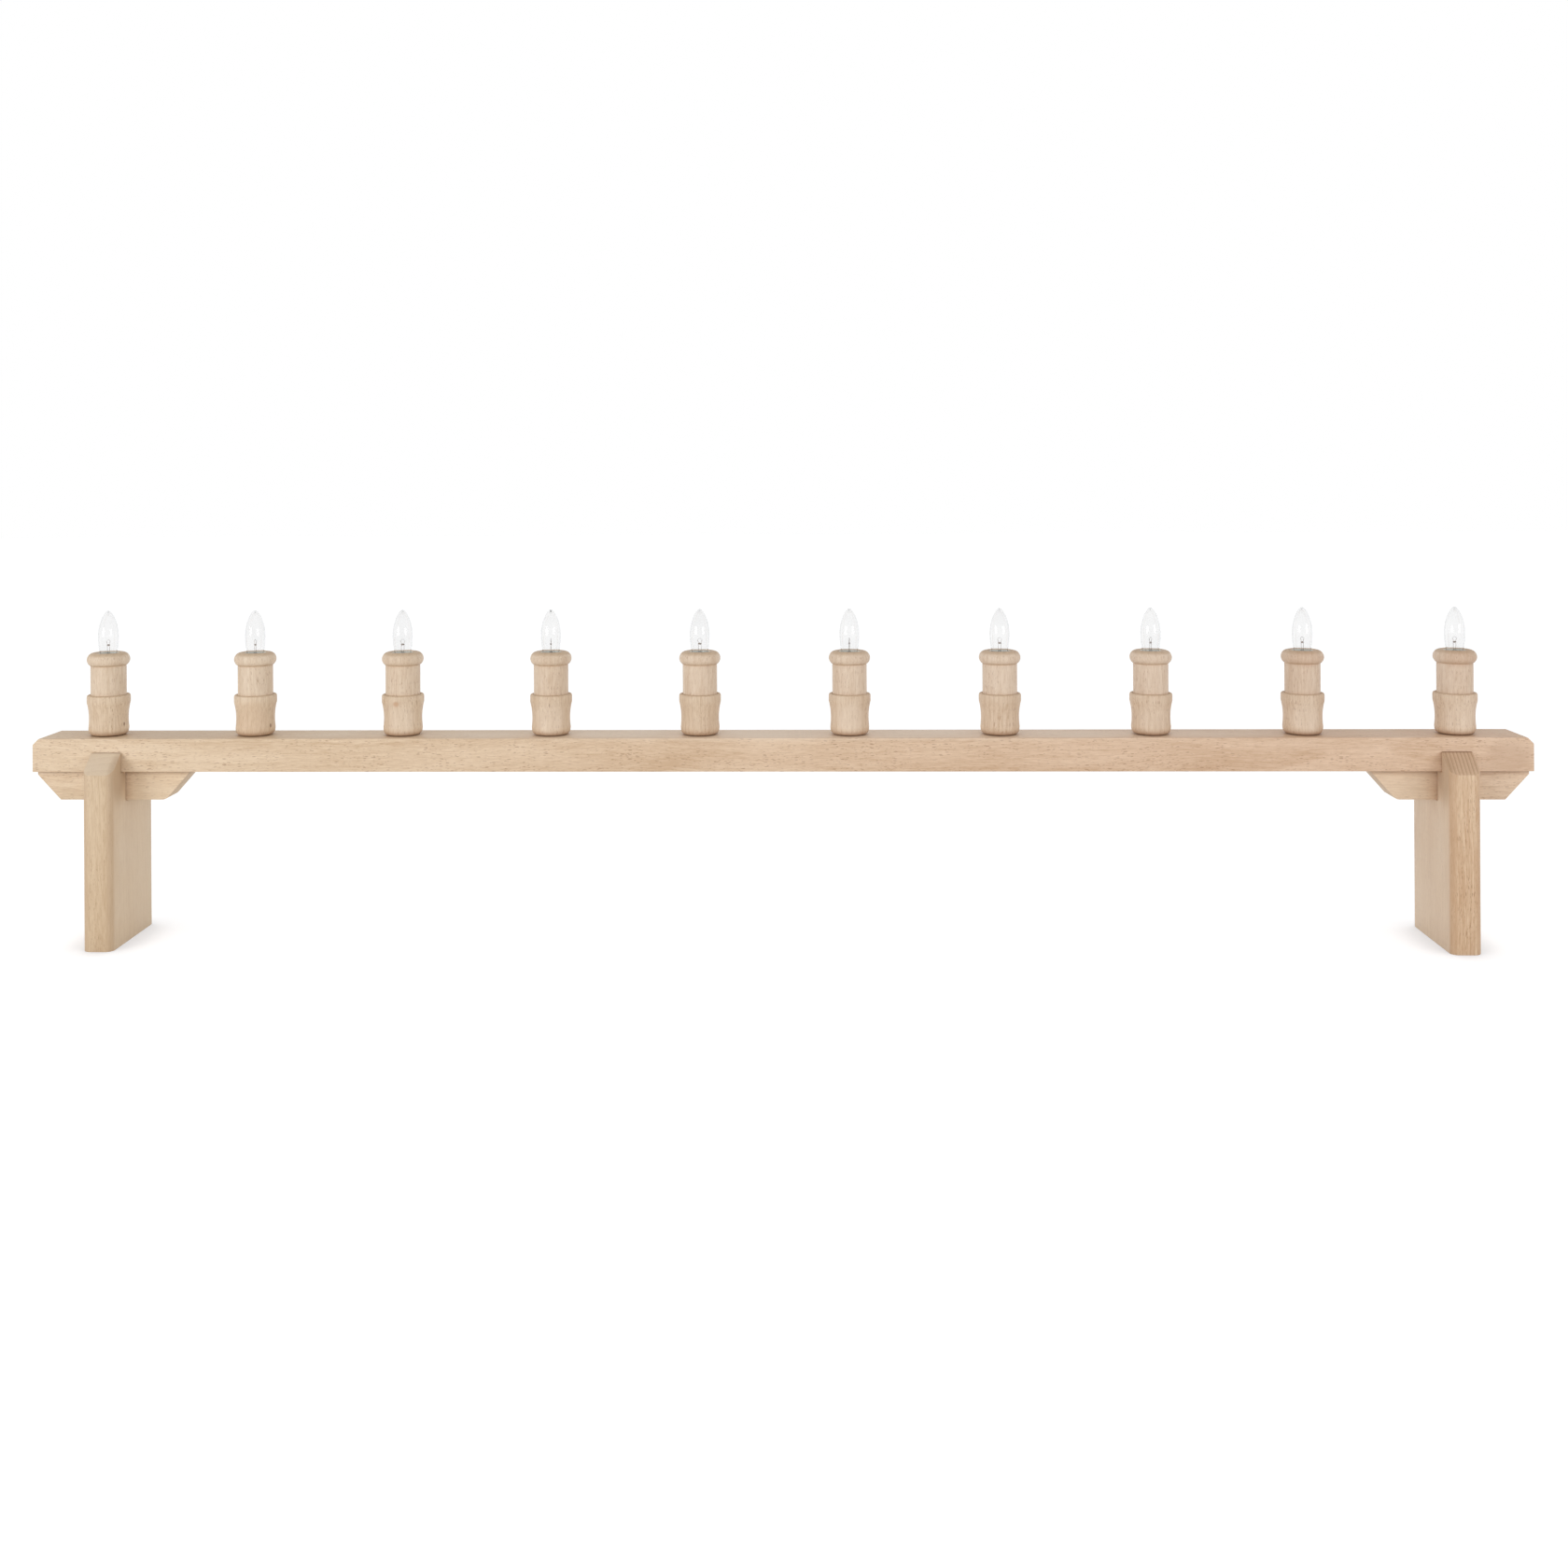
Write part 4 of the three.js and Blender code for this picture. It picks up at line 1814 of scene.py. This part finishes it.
    def build(self, candles: list[Vector]) -> None:
        """Make and dress every cup and holder.

        Args:
            candles: the place of each candle on the bar's top.
        """
        kinds = (
            ("turned_cup", self.cup_profile(), self.cup_wood, "cup"),
            ("turned_holder", self.holder_profile(), self.holder_wood, "holder"),
        )
        for name, profile, wood, node in kinds:
            pattern = turned(name, profile, self.segments)
            smooth(pattern, 38)
            material = wood.material()
            for number, seat in enumerate(candles, 1):
                twin = copied(pattern, f"{name}_{number:02d}", seat)
                dress(twin, material)
                stand_for(twin, STAND, "turned_wood", f"{node}_{number:02d}")
            bpy.data.objects.remove(pattern)


@dataclass
class LightString:
    """Twin lead in the bar's groove, with two wires up to a socket for each lamp.

    Its sizes are in millimetres, and heights are above the bar's top.
    """

    lead_width: float = 5.0
    lead_height: float = 2.4
    lead_round: float = 1.15
    web_share: float = 0.4
    wire_radius: float = 0.55
    wire_spread: float = 0.6
    socket_top: float = 53.1
    socket_bottom: float = 35.6
    socket_radius: float = 7.3
    socket_bore: float = 5.05
    collar_top: float = 55.2
    collar_bore: float = 6.4
    socket_floor: float = 2.0
    boss_radius: float = 1.8
    boss_clearance: float = 0.3
    lead_plastic: Plastic = Plastic("lead plastic", screen(228, 225, 216))
    socket_plastic: Plastic = Plastic("socket plastic", screen(222, 223, 215))

    def lead(self, low: float, reach: float) -> Piece:
        """Flat lead of two cores with a web between them.

        Args:
            low: height of its underside above the floor, in metres.
            reach: how far it runs each way from the bar's middle, in metres.

        Returns:
            The finished lead.
        """
        half, height = self.lead_width / 2 * MM, self.lead_height * MM
        start, end = Vector((-reach, -half, low)), Vector((reach, half, low + height))
        lead = block("twin_lead", start, end)

        def lengthwise(a: Vector, b: Vector) -> bool:
            """The edge runs the lead's whole length."""
            return abs(a.x - b.x) > reach

        round_edges(lead, lengthwise, self.lead_round * MM, 4)
        with editing(lead):
            bpy.ops.mesh.select_all(action="SELECT")
            bpy.ops.mesh.bisect(plane_co=(0, 0, low), plane_no=(0, 1, 0))
            bpy.ops.transform.resize(
                value=(1, 1, self.web_share),
                center_override=(0, 0, low + height / 2),
            )
        split_wide_faces(lead)
        smooth(lead, 50)
        return lead

    def riser(self, lead_top: float) -> Piece:
        """Two wires from the lead up to the socket.

        Args:
            lead_top: height of the lead's upper side, below the bar's top.

        Returns:
            Both wires as one piece, on the upright axis.
        """
        parts = []
        for sign in (-1, 1):
            spread = sign * self.wire_spread
            line = [
                Vector((2 * spread, 0, lead_top - 0.6)),
                Vector((1.2 * spread, 0, lead_top + 2.5)),
                Vector((spread, 0, 0)),
                Vector((spread, 0, self.socket_bottom - 6)),
                Vector((1.6 * spread, 0, self.socket_bottom + 0.3)),
            ]
            line = [point * MM for point in line]
            parts.append(wire("riser", line, self.wire_radius * MM, 4))
        return joined(parts, 60)

    def socket_profile(self, boss_top: float) -> Profile:
        """Outline of a socket from its underside up and into its bore.

        Args:
            boss_top: height of the lower contact.

        Returns:
            The outline, which starts and ends on the axis.
        """
        floor = self.socket_bottom + self.socket_floor
        outline = Profile(0, self.socket_bottom)
        outline.line(self.socket_radius - 0.5, self.socket_bottom)
        outline.line(self.socket_radius, self.socket_bottom + 0.5)
        outline.line(self.socket_radius, self.collar_top - 0.3)
        outline.bend(
            (self.socket_radius, self.collar_top),
            (self.socket_radius - 0.3, self.collar_top),
            3,
        )
        outline.line(self.collar_bore + 0.2, self.collar_top)
        outline.line(self.collar_bore, self.collar_top - 0.2)
        outline.line(self.collar_bore, self.socket_top)
        outline.line(self.socket_bore + 0.5, self.socket_top)
        outline.bend(
            (self.socket_bore, self.socket_top),
            (self.socket_bore, self.socket_top - 0.6),
            3,
        )
        outline.line(self.socket_bore, floor)
        outline.line(self.boss_radius + 0.2, floor)
        outline.line(self.boss_radius, floor + 0.2)
        outline.line(self.boss_radius, boss_top - 0.3)
        outline.line(self.boss_radius - 0.3, boss_top).line(0, boss_top)
        return outline

    def build(self, candles: list[Vector]) -> None:
        """Make and dress the lead, its risers and its sockets.

        Args:
            candles: the place of each candle on the bar's top.
        """
        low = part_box("wiring")[0].z
        lead = self.lead(low, candles[-1].x + self.lead_width / 2 * MM)
        plastic = self.lead_plastic.material()
        dress(lead, plastic)
        stand_for(lead, STAND, "wire_plastic", "wiring")

        top = candles[0].z
        lead_top = (low - top) / MM + self.lead_height
        boss_top = (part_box("lamp_tip_01")[0].z - top) / MM - self.boss_clearance
        socket = turned("lamp_socket", self.socket_profile(boss_top), 48)
        smooth(socket, 38)
        kinds = (
            ("lamp_riser", self.riser(lead_top), plastic),
            ("lamp_socket", socket, self.socket_plastic.material()),
        )
        for name, pattern, material in kinds:
            for number, seat in enumerate(candles, 1):
                twin = copied(pattern, f"{name}_{number:02d}", seat)
                dress(twin, material)
                stand_for(twin, STAND, "wire_plastic", "wiring")
            bpy.data.objects.remove(pattern)


@dataclass
class Lamps:
    """Small pointed screw-in lamps.

    Its sizes are in millimetres. The cap's heights are above the bar's top, and those
    of glass, foot, bead and leads are above the cap.
    """

    cap_bottom: float = 42.9
    cap_top: float = 51.3
    cap_radius: float = 4.75
    thread_depth: float = 0.5
    thread_pitch: float = 1.814
    thread_start: float = 0.24
    thread_end: float = 0.79
    thread_fade: float = 0.8
    thread_rings: int = 44
    insulator_radius: float = 2.6
    insulator_length: float = 1.4
    tip_radius: float = 1.7
    tip_length: float = 1.6
    glass_seat: float = 4.55
    glass_radius: float = 6.65
    glass_length: float = 32.3
    glass_widest: float = 15.5
    glass_wall: float = 0.5
    stem_radius: float = 1.1
    stem_flare: float = 3.4
    stem_height: float = 4.4
    bead_height: float = 9.2
    bead_half_height: float = 0.6
    bead_half_width: float = 1.25
    lead_radius: float = 0.13
    lead_spread: float = 0.95
    lead_reach: float = 11.5
    filament_half_width: float = 1.6
    filament_rise: float = 1.2
    filament_turns: int = 26
    filament_steps: int = 6
    filament_coil: float = 0.12
    filament_radius: float = 0.03
    seal_radius: float = 0.42
    facing_lamp: int = 5
    turn_step: float = 1.3
    dark_seals: frozenset[int] = frozenset({4})
    seat_gap: float = 0.2
    segments: int = 48
    clear: Glass = Glass("clear glass", screen(251, 251, 251), screen(216, 217, 218))
    foot_glass: Glass = Glass(
        "foot glass", screen(226, 230, 232), screen(205, 210, 212)
    )
    bead_glass: Glass = Glass(
        "bead glass", screen(168, 152, 142), screen(120, 104, 96), 0.4, 0.1
    )
    pale_seal: Glass = Glass("pale seal", screen(236, 237, 238), screen(205, 206, 208))
    dark_seal: Glass = Glass(
        "dark seal", screen(96, 92, 90), screen(60, 58, 58), 0.5, 0.05
    )
    black_glass: Glass = Glass(
        "insulator glass", screen(38, 34, 40), screen(30, 28, 32), 0.0, 0.12, False
    )
    nickel: Metal = Metal("nickel", screen(205, 200, 190), screen(150, 140, 122))
    lead: Metal = Metal("lead wire", screen(150, 142, 134), screen(110, 98, 90), 0.35)
    tungsten: Metal = Metal(
        "tungsten", screen(150, 148, 146), screen(110, 108, 108), 0.4
    )
    solder: Metal = Metal("solder", screen(178, 178, 176), screen(120, 120, 122), 0.45)

    def glass(self) -> Piece:
        """Pointed glass shell, open below where the cap holds it.

        Returns:
            The shell on the upright axis.
        """
        foot = self.cap_top + self.seat_gap
        widest = self.cap_top + self.glass_widest
        point = self.cap_top + self.glass_length
        radius = self.glass_radius
        rise = widest - foot
        outline = Profile(self.glass_seat, foot)
        outline.sweep(
            (radius - 0.4, foot + 0.35 * rise),
            (radius, widest - 0.3 * rise),
            (radius, widest),
            14,
        )
        outline.sweep(
            (radius, widest + 0.5 * (point - widest)),
            (0.42 * radius, point),
            (0, point),
            26,
        )
        shell = turned("glass_pattern", outline, self.segments)
        wall = shell.modifiers.new("wall", "SOLIDIFY")
        wall.thickness = self.glass_wall * MM
        wall.offset = -1
        finish_modifier(shell, wall)
        smooth(shell, 60)
        return shell

    def cap(self) -> Piece:
        """Screw cap with a rolled thread.

        Returns:
            The cap on the upright axis.
        """
        low, high, radius = self.cap_bottom, self.cap_top, self.cap_radius
        core = radius - self.thread_depth
        outline = Profile(0, low).line(core - 0.4, low).line(core, low + 0.25)
        outline.line(core, high - 0.8, self.thread_rings)
        outline.line(radius - 0.15, high - 0.55).line(radius - 0.05, high - 0.3)
        outline.line(radius - 0.15, high - 0.05).line(radius - 0.35, high)
        outline.line(self.stem_radius + 0.2, high).line(0, high)
        piece = turned("cap_pattern", outline, 40)
        start, end = low + self.thread_start, high - self.thread_end
        for vertex in piece.data.vertices:
            height = vertex.co.z / MM
            if not start < height < end:
                continue
            angle = math.atan2(vertex.co.y, vertex.co.x) / (2 * math.pi)
            wave = 0.5 + 0.5 * math.cos(
                2 * math.pi * (height / self.thread_pitch - angle)
            )
            fade = min(height - start, end - height, self.thread_fade)
            grown = core + self.thread_depth * wave * fade / self.thread_fade
            flat = Vector((vertex.co.x, vertex.co.y))
            flat *= grown * MM / flat.length
            vertex.co.x, vertex.co.y = flat
        smooth(piece, 50)
        return piece

    def insulator(self) -> Piece:
        """Dark glass insulator below the cap.

        Returns:
            The insulator on the upright axis.
        """
        low = self.cap_bottom - self.insulator_length
        outline = Profile(0, low).line(self.insulator_radius, low)
        outline.bend(
            (self.cap_radius - 1.6, low + 0.1),
            (self.cap_radius - 1.0, self.cap_bottom - 0.02),
            5,
        )
        outline.line(0, self.cap_bottom - 0.02)
        piece = turned("insulator_pattern", outline, 32)
        smooth(piece, 40)
        return piece

    def tip(self) -> Piece:
        """Solder contact under the insulator.

        Returns:
            The contact on the upright axis.
        """
        top = self.cap_bottom - self.insulator_length - self.seat_gap
        low = top + self.seat_gap - self.tip_length
        outline = Profile(0, low)
        outline.bend((0.8 * self.tip_radius, low), (self.tip_radius, top - 0.3), 7)
        outline.line(self.tip_radius - 0.1, top).line(0, top)
        piece = turned("tip_pattern", outline, 24)
        smooth(piece, 50)
        return piece

    def stem(self) -> Piece:
        """Flared glass foot inside the lamp, which stands on the cap.

        Returns:
            The foot on the upright axis.
        """
        low, high = self.cap_top, self.cap_top + self.stem_height
        outline = Profile(0, low).line(self.stem_flare, low)
        outline.line(self.stem_flare, low + 0.3)
        outline.sweep(
            (0.6 * self.stem_flare, low + 0.8),
            (self.stem_radius, low + 1.6),
            (self.stem_radius, high - 0.8),
            10,
        )
        outline.bend((self.stem_radius, high), (0.3 * self.stem_radius, high), 6)
        outline.line(0, high)
        piece = turned("stem_pattern", outline, 32)
        smooth(piece, 50)
        return piece

    def bead(self) -> Piece:
        """Small glass bead that holds the leads apart.

        Returns:
            The bead on the upright axis.
        """
        centre = self.cap_top + self.bead_height
        half = self.bead_half_height
        outline = Profile(0, centre - half)
        outline.arc((0, centre), half, -math.pi / 2 + 0.2, math.pi / 2 - 0.2, 10)
        outline.line(0, centre + half)
        piece = turned("bead_pattern", outline, 20)
        piece.data.transform(Matrix.Diagonal((self.bead_half_width / half, 1, 1, 1)))
        smooth(piece, 60)
        return piece

    def seal(self) -> Piece:
        """Drop of glass that closes the lamp's point from inside.

        Returns:
            The drop on the upright axis.
        """
        radius = self.seal_radius
        top = self.cap_top + self.glass_length - self.glass_wall - 0.05
        outline = Profile(0, top)
        outline.sweep(
            (0.9 * radius, top), (radius, top - radius), (radius, top - 1.6 * radius), 8
        )
        outline.bend((radius, top - 3 * radius), (0, top - 3 * radius), 8)
        piece = turned("seal_pattern", outline, 16)
        smooth(piece, 60)
        return piece

    def leads(self) -> Piece:
        """Two lead wires from the foot up through the bead, spread above it.

        Returns:
            Both wires as one piece.
        """
        base = self.cap_top
        parts = []
        for sign in (-1, 1):
            side = sign * self.lead_spread
            line = [
                Vector((0.6 * side, 0, base + self.stem_height - 1.6)),
                Vector((side, 0, base + self.stem_height + 0.4)),
                Vector((side, 0, base + self.bead_height)),
                Vector((side, 0, base + self.bead_height + 1)),
                Vector((1.1 * side, 0, base + self.lead_reach - 0.6)),
                Vector((sign * self.filament_half_width, 0, base + self.lead_reach)),
            ]
            line = [point * MM for point in line]
            parts.append(wire("lead", line, self.lead_radius * MM))
        return joined(parts, 60)

    def filament(self) -> Piece:
        """Fine coil in an arch between the leads.

        Returns:
            The coil on the upright axis.
        """
        turns, steps = self.filament_turns, self.filament_steps
        coil = self.filament_coil
        base = self.cap_top + self.lead_reach
        points = []
        for step in range(turns * steps + 1):
            t = step / (turns * steps)
            angle = 2 * math.pi * step / steps
            rise = self.filament_rise * math.sin(math.pi * t)
            across = self.filament_half_width * (2 * t - 1)
            place = Vector((across, coil * math.sin(angle), base + rise))
            place.z += coil * math.cos(angle)
            points.append(place * MM)
        thread = wire("filament_pattern", points, self.filament_radius * MM, 1)
        smooth(thread, 60)
        return thread

    def build(self, candles: list[Vector]) -> None:
        """Make and dress every lamp.

        Args:
            candles: the place of each candle on the bar's top.
        """
        dark_seal = self.dark_seal.material()
        glass, metal, tip = "clear_glass", "cap_metal", "tip_metal"
        kinds = (
            ("glass", self.glass(), self.clear, glass, "lamp_glass", ""),
            ("seal", self.seal(), self.pale_seal, glass, "lamp_glass", ""),
            ("cap", self.cap(), self.nickel, metal, "lamp_cap", ""),
            ("insulator", self.insulator(), self.black_glass, metal, "lamp_cap", ""),
            ("foot", self.stem(), self.foot_glass, glass, "lamp_cap", ""),
            ("bead", self.bead(), self.bead_glass, glass, "lamp_cap", ""),
            ("leads", self.leads(), self.lead, metal, "lamp_cap", ""),
            ("filament", self.filament(), self.tungsten, metal, "lamp_cap", ""),
            ("tip", self.tip(), self.solder, tip, "lamp_tip", "_travel"),
        )
        for name, pattern, finish, slot, node, carrier in kinds:
            material = finish.material()
            for number, seat in enumerate(candles, 1):
                turn = (number - self.facing_lamp) * self.turn_step
                twin = copied(pattern, f"bulb_{name}_{number:02d}", seat, turn)
                darker = name == "seal" and number in self.dark_seals
                dress(twin, dark_seal if darker else material)
                body = f"lamp_{number:02d}{carrier}"
                stand_for(twin, body, slot, f"{node}_{number:02d}")
            bpy.data.objects.remove(pattern)


def candle_seats() -> list[Vector]:
    """Place of each candle on the bar's top, from left to right.

    Returns:
        One point for each cup.
    """
    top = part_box("bar")[1].z
    seats = []
    for node in sorted(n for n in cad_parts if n.startswith("cup_")):
        low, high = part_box(node)
        seats.append(Vector(((low.x + high.x) / 2, (low.y + high.y) / 2, top)))
    return seats


def main() -> None:
    """Build the studio and every sub-assembly."""
    logging.basicConfig(level=logging.INFO, format="%(message)s")
    Studio().build()
    seats = candle_seats()
    Beam().build(seats)
    Legs().build()
    Turnings().build(seats)
    LightString().build(seats)
    Lamps().build(seats)
    bpy.context.view_layer.update()


if __name__ == "__main__":
    main()
